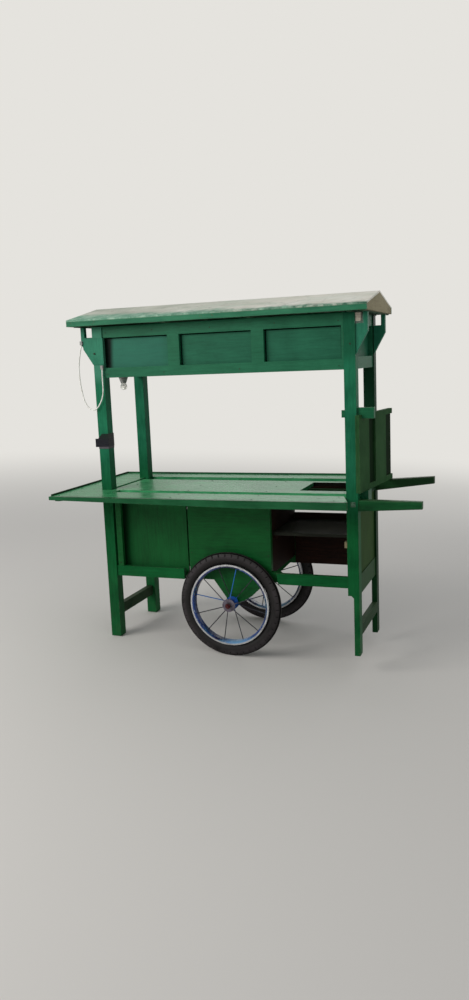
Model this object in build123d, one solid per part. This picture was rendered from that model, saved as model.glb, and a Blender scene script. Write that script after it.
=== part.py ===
from build123d import *
import math
import os

# Wooden street food cart: four posts carry a serving deck, a lower cabinet and a low gabled canopy.
# Two spoked wheels turn on one fixed axle, and the cart rests on them and on its two left legs.
# Millimetres. The cart is drawn level, then turned about its axle into the pose it parks in.
# Level frame: X runs along the cart from the left posts' outer face towards the handles,
# Y runs back from the front posts' front face, Z runs up with the axle's middle at AXLE_Z.

# Each board is this much short of its nominal faces, so neighbours seat two such gaps apart.
EASE = 0.1

# Driving sizes: the post frame.
FRAME_LENGTH = 1340.0
FRAME_DEPTH = 488.0
POST = 55.0
POST_TOP = 1655.0
FOOT_HEIGHT = 43.0
REAR_RIGHT_FOOT = 19.0
LEG_WIDTH = 27.0
LEG_TOP = 339.0
LEG_CHAMFER = 12.0

# Wheels and axle.
RIM_RADIUS = 207.0
RIM_LIP = 6.0
RIM_SIDE = 14.0
RIM_DEPTH = 18.0
RIM_WIDTH = 44.0
RIM_WELL_WIDTH = 30.0
RIM_FLANGE = 3.0
TYRE_HEIGHT = 59.5
TYRE_WIDTH = 60.0
TYRE_CLEARANCE = 0.3
TYRE_SHARES = ((0.5, 0.42), (0.27, 1.0))
AXLE_X = 688.5
AXLE_Z = 262.5
AXLE_RADIUS = 8.0
AXLE_RUNNING_GAP = 0.05
AXLE_SEAT_GAP = 0.1
AXLE_STUB = 22.0
AXLE_NUT_RADIUS = 13.0
AXLE_NUT_LENGTH = 12.0
FRONT_WHEEL_OUT = 8.0
REAR_WHEEL_OUT = 112.0
HUB_RADIUS = 16.0
HUB_HALF_LENGTH = 31.0
HUB_FLANGE_RADIUS = 33.0
HUB_FLANGE_OFFSET = 26.0
HUB_FLANGE_THICK = 5.0
HUB_PLAY = 0.4
SPOKE_COUNT = 12
SPOKE_FIRST_ANGLE = 18.0
SPOKE_RADIUS = 2.5
SPOKE_SEAT_OFFSET = 3.0

# Deck.
DECK_TOP = 830.0
DECK_THICK = 20.0
DECK_LEFT = -172.0
LEDGE_OUT = 237.0
LEDGE_GAP = 65.0
LEDGE_END_CUT = 50.0
REAR_LEDGE_OUT = 128.0
REAR_LEDGE_LAP = 13.0
REAR_GAP = 98.0
LEAF_RIGHT = 30.0
LEAF_TONGUE = 70.0
NOSING_THICK = 22.0
NOSING_LEFT_HEIGHT = 18.0
NOSING_RIGHT_HEIGHT = 36.0
NOSING_FULL_X = 850.0
HOLE_LENGTH = 228.0
HOLE_END_MARGIN = 72.0
HOLE_FRONT = 75.0
HOLE_BACK_MARGIN = 39.0
ARM_WIDTH = 26.0
ARM_HEIGHT = 26.0
ARM_SETBACK = 20.0
ARM_TIP = 6.0
ARM_SHOULDER = 30.0
BEARER_HEIGHT = 26.0
BEARER_DEPTH = 30.0
BEARER_OVERHANG = 150.0
EDGE_LATH = 8.0

# Lower cabinet.
BODY_BOTTOM = 374.0
RAIL_HEIGHT = 54.0
BOARD = 22.0
BOARD_SETBACK = 6.0
PANEL = 12.0
STILE_WIDTH = 40.0
STILE_GAP = 9.0
PANEL_GAP = 18.0
AXLE_BOARD_LEFT_REACH = 226.5
AXLE_BOARD_RIGHT_REACH = 210.5
LEFT_RAIL_GAP = 24.0
RIGHT_RAIL_GAP = 38.0
RIGHT_RAIL_SLANT = 8.0
REAR_AXLE_BOARD = 18.0
HANGER_TIP_RADIUS = 34.0
HANGER_TIP_FLAT = 12.0
HANGER_LEFT_SHOULDER = 98.0
HANGER_LEFT_NECK = 22.0
HANGER_RIGHT_SHOULDER = 181.0
HANGER_KNEE = 100.0
HANGER_KNEE_HEIGHT = 35.0
HANGER_EAR = 59.0
HANGER_EAR_CORNER = 18.0
HANGER_EAR_LIFT = 6.0
PARTITION = 15.0
PARTITION_BOTTOM = 416.0
FLOOR_THICK = 12.0
REAR_TOP_BOARD_HEIGHT = 121.0
BACK_SLOT = 13.0
SHELF_TOP = 622.0
SHELF_THICK = 15.0
SHELF_FRONT = 60.0
CLEAT = 20.0
RIGHT_END_RAIL_DROP = 39.0
END_PANEL_SETBACK = 10.0
LEFT_STRETCHER_BOTTOM = 150.0
RIGHT_STRETCHER_BOTTOM = 134.0
STRETCHER_HEIGHT = 53.0
STRETCHER_THICK = 30.0

# Canopy.
FASCIA_HEIGHT = 253.0
FASCIA_RAIL = 49.0
FASCIA_TOP_RAIL = 55.0
FASCIA_JAMB = 11.0
FASCIA_STILE = 62.0
FASCIA_STILES_X = (411.0, 843.0)
FASCIA_END_RAIL = 56.0
FASCIA_PANEL = 8.0
BRACKET_REACH = 56.0
LEFT_BRACKET_REACH = 67.0
BRACKET_HEIGHT = 187.0
BRACKET_SHOULDER_DROP = 85.0
BRACKET_TOP_DROP = 50.0
BRACKET_NECK = 20.0
BRACKET_THICK = 24.0
BEAM_END = 26.0
BEAM_END_HEIGHT = 38.0
BEAM_END_DEPTH = 24.0
BEAM_END_DROP = 40.0
ROOF_LEFT_OUT = 100.0
ROOF_RIGHT_OUT = 68.0
ROOF_SIDE_OUT = 72.0
EAVE_LIFT = 5.0
EAVE_BOARD_HEIGHT = 24.0
EAVE_BOARD = 15.0
ROOF_SHEET = 8.0
ROOF_RISE = 66.0
GABLE_BOARD = 12.0
RAFTER = 20.0

# Handles and the skewed screen beside the right posts.
HANDLE_LENGTH = 292.0
HANDLE_ROOT = (46.0, 54.0)
HANDLE_TIP = (36.0, 36.0)
HANDLE_ROUND = 7.0
FRONT_HANDLE_DROP = (57.0, 51.0)
REAR_HANDLE_DROP = (27.0, -2.0)
SCREEN_ANGLE = 7.5
SCREEN_FRONT = -22.0
SCREEN_OVERRUN = 5.0
SCREEN_THICK = 20.0
SCREEN_LIFT = 7.0
SCREEN_HEIGHT = 358.0
SCREEN_RAIL = 26.0
SCREEN_RECESS = 9.0
SCREEN_GAP = 0.3
SCREEN_STILE_ENDS = ((0.0, 137.0), (230.0, 390.0))
STUB_FRONT = 60.0
STUB_WIDTH = 75.0
STUB_HEIGHT = 67.0
BAR_LENGTH = 78.0
BAR_FRONT = 12.0
BAR_THICK = 30.0
BAR_HEIGHT = 50.0
BAR_SINK = 17.0
TENON_THICK = 16.0
TENON_HEIGHT = 34.0
TENON_OUT = 19.0

# Lamp, cords and small fittings.
LAMP_X = 34.0
LAMP_SIDES = 16
HOLDER_TOP_RADIUS = 26.0
HOLDER_RADIUS = 14.0
HOLDER_HEIGHT = 34.0
BULB_RADIUS = 17.5
BULB_LENGTH = 36.5
BULB_SHARES = ((0.68, 0.0), (0.75, 0.12), (1.0, 0.42), (0.94, 0.7), (0.66, 0.9), (0.2, 1.0))
CABLE_RADIUS = 3.0
CABLE_SIDES = 6
CLIP_HALF = 6.5
CLIP_HEIGHT = 14.0
CLIP_GRIP = 5.0
CLIP_PLAY = 0.2
BAND_BOTTOM = 1062.0
BAND_HEIGHT = 72.0
BAND_THICK = 2.0
BAND_GAP = 0.3

# Values that follow from the driving sizes.
WHEEL_RADIUS = RIM_RADIUS + TYRE_HEIGHT
RIM_BED_RADIUS = RIM_RADIUS - RIM_LIP
RIM_WELL_RADIUS = RIM_RADIUS - RIM_DEPTH
RIM_SIDE_RADIUS = RIM_RADIUS - RIM_SIDE
FRONT_WHEEL_Y = -FRONT_WHEEL_OUT
REAR_WHEEL_Y = FRAME_DEPTH + REAR_WHEEL_OUT
REAR_POST_Y = FRAME_DEPTH - POST
RIGHT_POST_X = FRAME_LENGTH - POST
RAIL_TOP = BODY_BOTTOM + RAIL_HEIGHT
DECK_BOTTOM = DECK_TOP - DECK_THICK
ARM_BOTTOM = DECK_BOTTOM - ARM_HEIGHT
BEARER_BOTTOM = ARM_BOTTOM - BEARER_HEIGHT
DECK_FRONT = -LEDGE_OUT
DECK_BACK = FRAME_DEPTH + REAR_LEDGE_OUT
REAR_LEDGE_FRONT = FRAME_DEPTH - REAR_LEDGE_LAP
MAIN_BACK = REAR_LEDGE_FRONT - REAR_GAP
HOLE_RIGHT = FRAME_LENGTH - HOLE_END_MARGIN
AXLE_BOARD_LEFT = AXLE_X - AXLE_BOARD_LEFT_REACH
AXLE_BOARD_RIGHT = AXLE_X + AXLE_BOARD_RIGHT_REACH
REAR_TOP_BOARD_BOTTOM = ARM_BOTTOM - REAR_TOP_BOARD_HEIGHT
BACK_PANEL_TOP = REAR_TOP_BOARD_BOTTOM - BACK_SLOT
FASCIA_BOTTOM = POST_TOP - FASCIA_HEIGHT
SCREEN_LENGTH = FRAME_DEPTH + SCREEN_OVERRUN
SCREEN_BOTTOM = DECK_TOP + SCREEN_LIFT
SCREEN_TOP = SCREEN_BOTTOM + SCREEN_HEIGHT
BAR_BOTTOM = SCREEN_TOP - BAR_SINK
ROOF_LEFT = -ROOF_LEFT_OUT
ROOF_RIGHT = FRAME_LENGTH + ROOF_RIGHT_OUT
ROOF_FRONT = -ROOF_SIDE_OUT
ROOF_BACK = FRAME_DEPTH + ROOF_SIDE_OUT
EAVE_BOTTOM = POST_TOP + EAVE_LIFT
BOARD_BACK = BOARD_SETBACK + BOARD
REAR_BOARD_Y = FRAME_DEPTH - BOARD_BACK
ROOF_MID_Y = (ROOF_FRONT + ROOF_BACK) / 2
EAVE_TOP = EAVE_BOTTOM + EAVE_BOARD_HEIGHT
ROOF_SLOPE = ROOF_RISE / (ROOF_MID_Y - ROOF_FRONT)


def void(x_range, y_range, z_range):
    """A squared space between three pairs of limits, used to cut notches and holes."""
    size = [high - low for low, high in (x_range, y_range, z_range)]
    place = (x_range[0], y_range[0], z_range[0])
    return Pos(*place) * Box(*size, align=(Align.MIN, Align.MIN, Align.MIN))


def block(x_range, y_range, z_range):
    """A squared timber or board, eased inside three pairs of limits."""
    return void(*[(low + EASE, high - EASE) for low, high in (x_range, y_range, z_range)])


def flat_board(places, thick, direction):
    """A board cut to a closed outline and eased on its faces and edges."""
    face = make_face(Polyline(*places, close=True).edges())
    shifted = Pos(*(EASE * part for part in direction)) * offset(face, amount=-EASE)
    return extrude(shifted, amount=thick - 2 * EASE, dir=direction)


def board_from_outline(points, y_front, thick):
    """A board cut to an outline of (x, z) points, lying in a plane that faces the front."""
    return flat_board([(x, y_front, z) for x, z in points], thick, (0, 1, 0))


def board_from_end_outline(points, x_left, thick):
    """A board cut to an outline of (y, z) points, lying in a plane that faces the cart's end."""
    return flat_board([(x_left, y, z) for y, z in points], thick, (1, 0, 0))


def board_from_plan(points, z_low, thick):
    """A level board cut to a plan outline of (x, y) points."""
    return flat_board([(x, y, z_low) for x, y in points], thick, (0, 0, 1))


def together(solids):
    """Several pieces that stay apart, kept as one named set."""
    return Compound(children=list(solids))


def turned(radius_offsets, y_middle):
    """A body of revolution about the axle from (offset along the axle, radius) points."""
    points = [(AXLE_X, y_middle + along, AXLE_Z + radius) for along, radius in radius_offsets]
    face = make_face(Polyline(*points, close=True).edges())
    return revolve(face, Axis((AXLE_X, 0, AXLE_Z), (0, 1, 0)), 360)


def rod(start, end, radius):
    """A straight round bar between two points."""
    run = Vector(*end) - Vector(*start)
    return extrude(Plane(origin=start, z_dir=run.normalized()) * Circle(radius), amount=run.length)


def spoke(start, end, radius):
    """A spoke drawn with six flat sides."""
    run = Vector(*end) - Vector(*start)
    return extrude(Plane(origin=start, z_dir=run.normalized()) * RegularPolygon(radius, 6), amount=run.length)


def axle_rod(y_low, y_high, radius):
    """A round bar along the axle's line."""
    return rod((AXLE_X, y_low, AXLE_Z), (AXLE_X, y_high, AXLE_Z), radius)


def cord_tube(points, radius):
    """A cord of straight runs joined by the largest tangent arcs that its runs allow."""
    places = [Vector(*point) for point in points]
    radii = []
    for before, here, after in zip(places, places[1:], places[2:]):
        shorter = min((here - before).length, (after - here).length)
        turn = (here - before).get_angle(after - here)
        radii.append(0.45 * shorter / math.tan(math.radians(turn) / 2))
    path = FilletPolyline(*places, radius=radii)
    start = Plane(origin=path @ 0, z_dir=path % 0)
    section = RegularPolygon(radius, CABLE_SIDES)
    tube = sweep(start * section, path=path)
    print("cord length", round(path.length, 1), "radii", [round(value, 1) for value in radii])
    print("cord volume ratio", round(tube.volume / (section.area * path.length), 4))
    return tube


def bar_tenon(ease):
    """The screen bar's tenon, or with no ease the mortise it passes through in the front right post."""
    middle_y = BAR_FRONT + BAR_THICK / 2
    low_z = BAR_BOTTOM + TENON_OUT / 4
    x_range = (RIGHT_POST_X - TENON_OUT + ease, FRAME_LENGTH + TENON_OUT)
    y_range = (middle_y - TENON_THICK / 2 + ease, middle_y + TENON_THICK / 2 - ease)
    return void(x_range, y_range, (low_z + ease, low_z + TENON_HEIGHT - ease))


def make_posts():
    """Four squared posts; the right pair is cut back to narrow legs below the cabinet."""
    tall = (FOOT_HEIGHT, POST_TOP)
    left = (0, POST)
    right = (RIGHT_POST_X, FRAME_LENGTH)
    front = (0, POST)
    rear = (REAR_POST_Y, FRAME_DEPTH)
    leg_left = FRAME_LENGTH - LEG_WIDTH
    waste_bottom = REAR_RIGHT_FOOT - LEG_CHAMFER
    waste = [(RIGHT_POST_X, waste_bottom), (leg_left, waste_bottom),
             (leg_left, LEG_TOP - LEG_CHAMFER), (leg_left - LEG_CHAMFER, LEG_TOP), (RIGHT_POST_X, LEG_TOP)]
    cut = board_from_outline(waste, -POST, FRAME_DEPTH + 2 * POST)
    return {
        "post_front_left": block(left, front, tall),
        "post_rear_left": block(left, rear, tall),
        "post_front_right": block(right, front, tall) - cut - bar_tenon(0),
        "post_rear_right": block(right, rear, (REAR_RIGHT_FOOT, POST_TOP)) - cut,
    }


def make_lower_rails():
    """Leg stretchers and the rails round the cabinet's bottom."""
    between_posts = (POST, REAR_POST_Y)
    front = (BOARD_SETBACK, BOARD_BACK)
    rear = (REAR_BOARD_Y, REAR_BOARD_Y + BOARD)
    low = (BODY_BOTTOM, RAIL_TOP)
    left_stretch = (LEFT_STRETCHER_BOTTOM, LEFT_STRETCHER_BOTTOM + STRETCHER_HEIGHT)
    right_stretch = (RIGHT_STRETCHER_BOTTOM, RIGHT_STRETCHER_BOTTOM + STRETCHER_HEIGHT)
    rail_start = AXLE_BOARD_RIGHT + RIGHT_RAIL_GAP
    slanted = [(rail_start, BODY_BOTTOM), (RIGHT_POST_X, BODY_BOTTOM),
               (RIGHT_POST_X, RAIL_TOP), (rail_start - RIGHT_RAIL_SLANT, RAIL_TOP)]
    right_rail_x = (FRAME_LENGTH - BOARD_BACK, FRAME_LENGTH - BOARD_SETBACK)
    return {
        "leg_stretchers": together([
            block((END_PANEL_SETBACK, END_PANEL_SETBACK + STRETCHER_THICK), between_posts, left_stretch),
            block((FRAME_LENGTH - LEG_WIDTH, FRAME_LENGTH), between_posts, right_stretch)]),
        "bottom_rails": together([
            block((POST, AXLE_BOARD_LEFT - LEFT_RAIL_GAP), front, low),
            board_from_outline(slanted, BOARD_SETBACK, BOARD),
            block((POST, RIGHT_POST_X), rear, low),
            block((BOARD_SETBACK, BOARD_BACK), between_posts, low),
            block(right_rail_x, between_posts, (BODY_BOTTOM - RIGHT_END_RAIL_DROP, RAIL_TOP))]),
    }


def make_cabinet():
    """Front, back and end boards of the cabinet, its partition, floor and open shelf bay."""
    behind_post = (POST, POST + PANEL)
    end_panel_x = FRAME_LENGTH - END_PANEL_SETBACK - PANEL
    left_panel_x = POST - PANEL
    back_y = REAR_BOARD_Y
    partition = (AXLE_BOARD_RIGHT - PARTITION, AXLE_BOARD_RIGHT)
    shelf_bottom = SHELF_TOP - SHELF_THICK
    cleat_y = (SHELF_FRONT + CLEAT, REAR_POST_Y)
    cleat_z = (shelf_bottom - CLEAT, shelf_bottom)
    stile_y = (BOARD_SETBACK, BOARD_BACK)
    stile_z = (RAIL_TOP, ARM_BOTTOM)
    panel_z = (BODY_BOTTOM, BEARER_BOTTOM)
    back_panel_y = (back_y - PANEL, back_y)
    back_panel_z = (BODY_BOTTOM, BACK_PANEL_TOP)
    rear_top_z = (REAR_TOP_BOARD_BOTTOM, ARM_BOTTOM)
    floor_z = (RAIL_TOP, RAIL_TOP + FLOOR_THICK)
    tip = HANGER_TIP_RADIUS
    flat = HANGER_TIP_FLAT
    ear_right = AXLE_BOARD_RIGHT + HANGER_EAR
    hanger = [(AXLE_BOARD_LEFT, ARM_BOTTOM), (AXLE_BOARD_LEFT, BODY_BOTTOM),
              (AXLE_X - HANGER_LEFT_SHOULDER, BODY_BOTTOM), (AXLE_X - tip, AXLE_Z + HANGER_LEFT_NECK),
              (AXLE_X - tip, AXLE_Z - flat), (AXLE_X - flat, AXLE_Z - tip), (AXLE_X + flat, AXLE_Z - tip),
              (AXLE_X + tip, AXLE_Z - flat / 2), (AXLE_X + HANGER_KNEE, AXLE_Z + HANGER_KNEE_HEIGHT),
              (AXLE_X + HANGER_RIGHT_SHOULDER, BODY_BOTTOM)]
    ear = [(ear_right, BODY_BOTTOM + HANGER_EAR_LIFT), (ear_right, RAIL_TOP - HANGER_EAR_CORNER),
           (ear_right - HANGER_EAR_CORNER, RAIL_TOP), (AXLE_BOARD_RIGHT, RAIL_TOP)]
    plain = [(AXLE_BOARD_RIGHT, BODY_BOTTOM)]
    top_right = [(AXLE_BOARD_RIGHT, ARM_BOTTOM)]
    bore = axle_rod(-FRAME_DEPTH, 2 * FRAME_DEPTH, AXLE_RADIUS + AXLE_SEAT_GAP)
    axle_front = board_from_outline(hanger + ear + top_right, BOARD_BACK, POST - BOARD_BACK) - bore
    rear_outline = hanger + plain + top_right
    axle_rear = board_from_outline(rear_outline, back_y - REAR_AXLE_BOARD, REAR_AXLE_BOARD) - bore
    return {
        "stile_front_left": block((POST + STILE_GAP, POST + STILE_WIDTH), stile_y, stile_z),
        "panel_front": block((BOARD_BACK, AXLE_BOARD_LEFT - PANEL_GAP), behind_post, panel_z),
        "axle_board_front": axle_front,
        "axle_board_rear": axle_rear,
        "back_panels": together([
            block((POST, AXLE_BOARD_LEFT), back_panel_y, back_panel_z),
            block((AXLE_BOARD_RIGHT, RIGHT_POST_X), back_panel_y, back_panel_z)]),
        "rear_top_board": block((POST, RIGHT_POST_X), (back_y, back_y + BOARD), rear_top_z),
        "end_panels": together([
            block((left_panel_x, POST), (POST + PANEL, REAR_POST_Y), (RAIL_TOP - CLEAT, BEARER_BOTTOM)),
            block((end_panel_x, end_panel_x + PANEL), (POST, REAR_POST_Y), (RAIL_TOP, ARM_BOTTOM))]),
        "partition": block(partition, (POST, back_y - REAR_AXLE_BOARD), (PARTITION_BOTTOM, BEARER_BOTTOM)),
        "floor_board": block((POST, partition[0]), (POST + PANEL, REAR_POST_Y), floor_z),
        "shelf": block((partition[1], end_panel_x), (SHELF_FRONT, REAR_POST_Y), (shelf_bottom, SHELF_TOP)),
        "shelf_cleats": together([
            block((partition[1], partition[1] + CLEAT), cleat_y, cleat_z),
            block((end_panel_x - CLEAT, end_panel_x), cleat_y, cleat_z)]),
    }


def make_deck():
    """Serving deck: boards on bearers and cross arms, set apart by open gaps, with a hole at the right."""
    deck = (DECK_BOTTOM, DECK_TOP)
    leaf_left = DECK_LEFT + EDGE_LATH
    ledge_front = DECK_FRONT + NOSING_THICK
    arm_back = DECK_BACK - ARM_SETBACK
    arm_tip_z = DECK_BOTTOM - ARM_TIP
    arm_side = [(ledge_front, DECK_BOTTOM), (ledge_front, arm_tip_z), (-ARM_SHOULDER, ARM_BOTTOM),
                (FRAME_DEPTH + ARM_SHOULDER, ARM_BOTTOM), (arm_back, arm_tip_z), (arm_back, DECK_BOTTOM)]
    arm_starts = (-BEARER_OVERHANG, POST + STILE_WIDTH, AXLE_BOARD_LEFT, AXLE_BOARD_RIGHT - ARM_WIDTH,
                  RIGHT_POST_X - ARM_WIDTH)
    notches = [void((x - EASE, x + POST + EASE), (y - EASE, y + POST + EASE), deck)
               for x in (0, RIGHT_POST_X) for y in (0, REAR_POST_Y)]
    hole = void((HOLE_RIGHT - HOLE_LENGTH, HOLE_RIGHT), (HOLE_FRONT, MAIN_BACK - HOLE_BACK_MARGIN), deck)
    main = block((POST, FRAME_LENGTH), (0, MAIN_BACK), deck) - hole
    tongue = LEAF_RIGHT + LEAF_TONGUE
    leaf_plan = [(leaf_left, -LEDGE_GAP), (tongue, -LEDGE_GAP), (tongue, 0),
                 (LEAF_RIGHT, 0), (LEAF_RIGHT, DECK_BACK), (leaf_left, DECK_BACK)]
    leaf = board_from_plan(leaf_plan, DECK_BOTTOM, DECK_THICK)
    rear = block((LEAF_RIGHT, FRAME_LENGTH), (REAR_LEDGE_FRONT, DECK_BACK), deck)
    for notch in notches:
        main = main - notch
        leaf = leaf - notch
        rear = rear - notch
    ledge_plan = [(leaf_left, ledge_front), (FRAME_LENGTH, ledge_front),
                  (FRAME_LENGTH - LEDGE_END_CUT, -LEDGE_GAP), (leaf_left, -LEDGE_GAP)]
    nosing = [(DECK_LEFT, DECK_TOP), (DECK_LEFT, DECK_TOP - NOSING_LEFT_HEIGHT),
              (NOSING_FULL_X, DECK_TOP - NOSING_RIGHT_HEIGHT), (FRAME_LENGTH, DECK_TOP - NOSING_RIGHT_HEIGHT),
              (FRAME_LENGTH, DECK_TOP)]
    bearer_z = (BEARER_BOTTOM, ARM_BOTTOM)
    end_lath_z = (DECK_BOTTOM, DECK_TOP + EDGE_LATH)
    end_rail_z = (ARM_BOTTOM, DECK_BOTTOM)
    end_panel_x = FRAME_LENGTH - END_PANEL_SETBACK - PANEL
    return {
        "deck_boards": main,
        "deck_left_leaf": leaf,
        "deck_front_ledge": board_from_plan(ledge_plan, DECK_BOTTOM, DECK_THICK),
        "deck_rear_ledge": rear,
        "deck_nosing": board_from_outline(nosing, DECK_FRONT, NOSING_THICK),
        "deck_end_lath": block((DECK_LEFT, leaf_left), (ledge_front, DECK_BACK), end_lath_z),
        "deck_back_lath": block((leaf_left, FRAME_LENGTH), (DECK_BACK - EDGE_LATH, DECK_BACK),
                                (DECK_TOP, DECK_TOP + EDGE_LATH)),
        "deck_arms": together([board_from_end_outline(arm_side, x, ARM_WIDTH) for x in arm_starts]),
        "deck_bearers": together([
            block((-BEARER_OVERHANG, end_panel_x), (y, y + BEARER_DEPTH), bearer_z)
            for y in (POST, REAR_POST_Y - BEARER_DEPTH)]),
        "deck_end_rail": block((RIGHT_POST_X + CLEAT, FRAME_LENGTH), (POST, REAR_POST_Y), end_rail_z),
    }


def fascia_frame(length, depth_range, rail_bottom, uprights):
    """A flat frame of rails and uprights along X, drawn between 0 and its length."""
    z_low = (FASCIA_BOTTOM, FASCIA_BOTTOM + rail_bottom)
    z_high = (POST_TOP - FASCIA_TOP_RAIL, POST_TOP)
    frame = block((0, length), depth_range, z_low) + block((0, length), depth_range, z_high)
    for upright in uprights:
        frame = frame + block(upright, depth_range, (FASCIA_BOTTOM, POST_TOP))
    return frame


def make_canopy_sides():
    """Panelled fascias between the post tops."""
    run = RIGHT_POST_X - POST
    depth = REAR_POST_Y - POST
    uprights = [(x - POST, x - POST + FASCIA_STILE) for x in FASCIA_STILES_X] + [(run - FASCIA_JAMB, run)]
    front = Pos(POST, 0, 0) * fascia_frame(run, (BOARD_SETBACK, BOARD_BACK), FASCIA_RAIL, uprights)
    rear = Pos(POST, 0, 0) * fascia_frame(run, (REAR_BOARD_Y, REAR_BOARD_Y + BOARD), FASCIA_RAIL, uprights)
    end_uprights = [(0, FASCIA_JAMB), (depth - FASCIA_JAMB, depth)]
    end = fascia_frame(depth, (0, BOARD), FASCIA_END_RAIL, end_uprights)
    right = Pos(FRAME_LENGTH - BOARD_SETBACK, POST, 0) * Rot(0, 0, 90) * end
    left = Pos(BOARD_BACK + BOARD_SETBACK, POST, 0) * Rot(0, 0, 90) * end
    z_all = (FASCIA_BOTTOM, POST_TOP)
    behind_front = (BOARD_BACK, BOARD_BACK + FASCIA_PANEL)
    behind_rear = (REAR_BOARD_Y - FASCIA_PANEL, REAR_BOARD_Y)
    inner_right = FRAME_LENGTH - BOARD_BACK
    inner_left = BOARD_BACK + BOARD_SETBACK
    return {
        "fascia_front_frame": front,
        "fascia_rear_frame": rear,
        "fascia_end_frames": together([left, right]),
        "fascia_panels": together([
            block((POST, RIGHT_POST_X), behind_front, z_all),
            block((POST, RIGHT_POST_X), behind_rear, z_all),
            block((inner_left, inner_left + FASCIA_PANEL), (POST, REAR_POST_Y), z_all),
            block((inner_right - FASCIA_PANEL, inner_right), (POST, REAR_POST_Y), z_all)]),
    }


def make_brackets():
    """Gusset brackets that hold the overhanging roof ends, each with a slim neck at its outer edge."""
    brackets = []
    top = POST_TOP - BRACKET_TOP_DROP
    for side, reach in ((-1, LEFT_BRACKET_REACH), (1, BRACKET_REACH)):
        neck = reach - BRACKET_NECK
        outline = [(0, POST_TOP - BRACKET_HEIGHT), (reach, POST_TOP - BRACKET_SHOULDER_DROP),
                   (reach, POST_TOP), (neck, POST_TOP), (neck, top), (0, top)]
        post_face = FRAME_LENGTH if side > 0 else 0
        placed = [(post_face + side * x, z) for x, z in outline]
        for y_front in (BOARD_SETBACK, FRAME_DEPTH - BOARD_BACK - BRACKET_THICK):
            brackets.append(board_from_outline(placed, y_front, BRACKET_THICK))
    beam_end = block(
        (FRAME_LENGTH, FRAME_LENGTH + BEAM_END), (BOARD_BACK - BEAM_END_DEPTH, BOARD_BACK),
        (POST_TOP - BEAM_END_DROP, POST_TOP - BEAM_END_DROP + BEAM_END_HEIGHT))
    return {"roof_brackets": together(brackets), "beam_end": beam_end}


def roof_under(y):
    """Height of the roof sheets' underside at a depth y."""
    return EAVE_TOP + ROOF_SLOPE * (ROOF_MID_Y - ROOF_FRONT - abs(y - ROOF_MID_Y))


def make_roof():
    """Two sloping sheets on rafters, with eave boards and triangular gable boards."""
    ridge = roof_under(ROOF_MID_Y)
    front_sheet = [(ROOF_FRONT, EAVE_TOP), (ROOF_MID_Y, ridge),
                   (ROOF_MID_Y, ridge + ROOF_SHEET), (ROOF_FRONT, EAVE_TOP + ROOF_SHEET)]
    rear_sheet = [(ROOF_BACK, EAVE_TOP), (ROOF_MID_Y, ridge),
                  (ROOF_MID_Y, ridge + ROOF_SHEET), (ROOF_BACK, EAVE_TOP + ROOF_SHEET)]
    inner_front = ROOF_FRONT + EAVE_BOARD
    inner_back = ROOF_BACK - EAVE_BOARD
    gable = [(inner_front, EAVE_BOTTOM), (inner_back, EAVE_BOTTOM),
             (inner_back, roof_under(inner_back)), (ROOF_MID_Y, ridge), (inner_front, roof_under(inner_front))]
    rafter = [(inner_front, POST_TOP), (inner_back, POST_TOP)] + gable[2:]
    rafter_starts = (-LEFT_BRACKET_REACH, BOARD_SETBACK, FASCIA_STILES_X[0], FASCIA_STILES_X[1],
                     FRAME_LENGTH - BOARD_SETBACK - RAFTER, FRAME_LENGTH + BRACKET_REACH - RAFTER)
    length = ROOF_RIGHT - ROOF_LEFT
    sheet_front = board_from_end_outline(front_sheet, ROOF_LEFT, length)
    sheet_rear = board_from_end_outline(rear_sheet, ROOF_LEFT, length)
    return {
        "roof_sheet_front": sheet_front,
        "roof_sheet_rear": sheet_rear,
        "eave_boards": together([
            board_from_end_outline([(outer, EAVE_BOTTOM), (inner, EAVE_BOTTOM), (inner, roof_under(inner)),
                                    (outer, EAVE_TOP)], ROOF_LEFT, length)
            for outer, inner in ((ROOF_FRONT, inner_front), (ROOF_BACK, inner_back))]),
        "gable_boards": together([
            board_from_end_outline(gable, x, GABLE_BOARD) for x in (ROOF_LEFT, ROOF_RIGHT - GABLE_BOARD)]),
        "rafters": together([board_from_end_outline(rafter, x, RAFTER) for x in rafter_starts]),
    }


def make_handle(y_middle, drops):
    """A tapered push handle with eased edges that leaves a right post's outer face."""
    root_place = (FRAME_LENGTH, y_middle, DECK_TOP - drops[0])
    tip_place = (FRAME_LENGTH + HANDLE_LENGTH, y_middle, DECK_TOP - drops[1])
    root = Plane(origin=root_place, x_dir=(0, 1, 0), z_dir=(1, 0, 0))
    tip = Plane(origin=tip_place, x_dir=(0, 1, 0), z_dir=(1, 0, 0))
    start = root * RectangleRounded(*HANDLE_ROOT, HANDLE_ROUND)
    end = tip * RectangleRounded(*HANDLE_TIP, HANDLE_ROUND)
    return loft([start, end])


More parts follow.
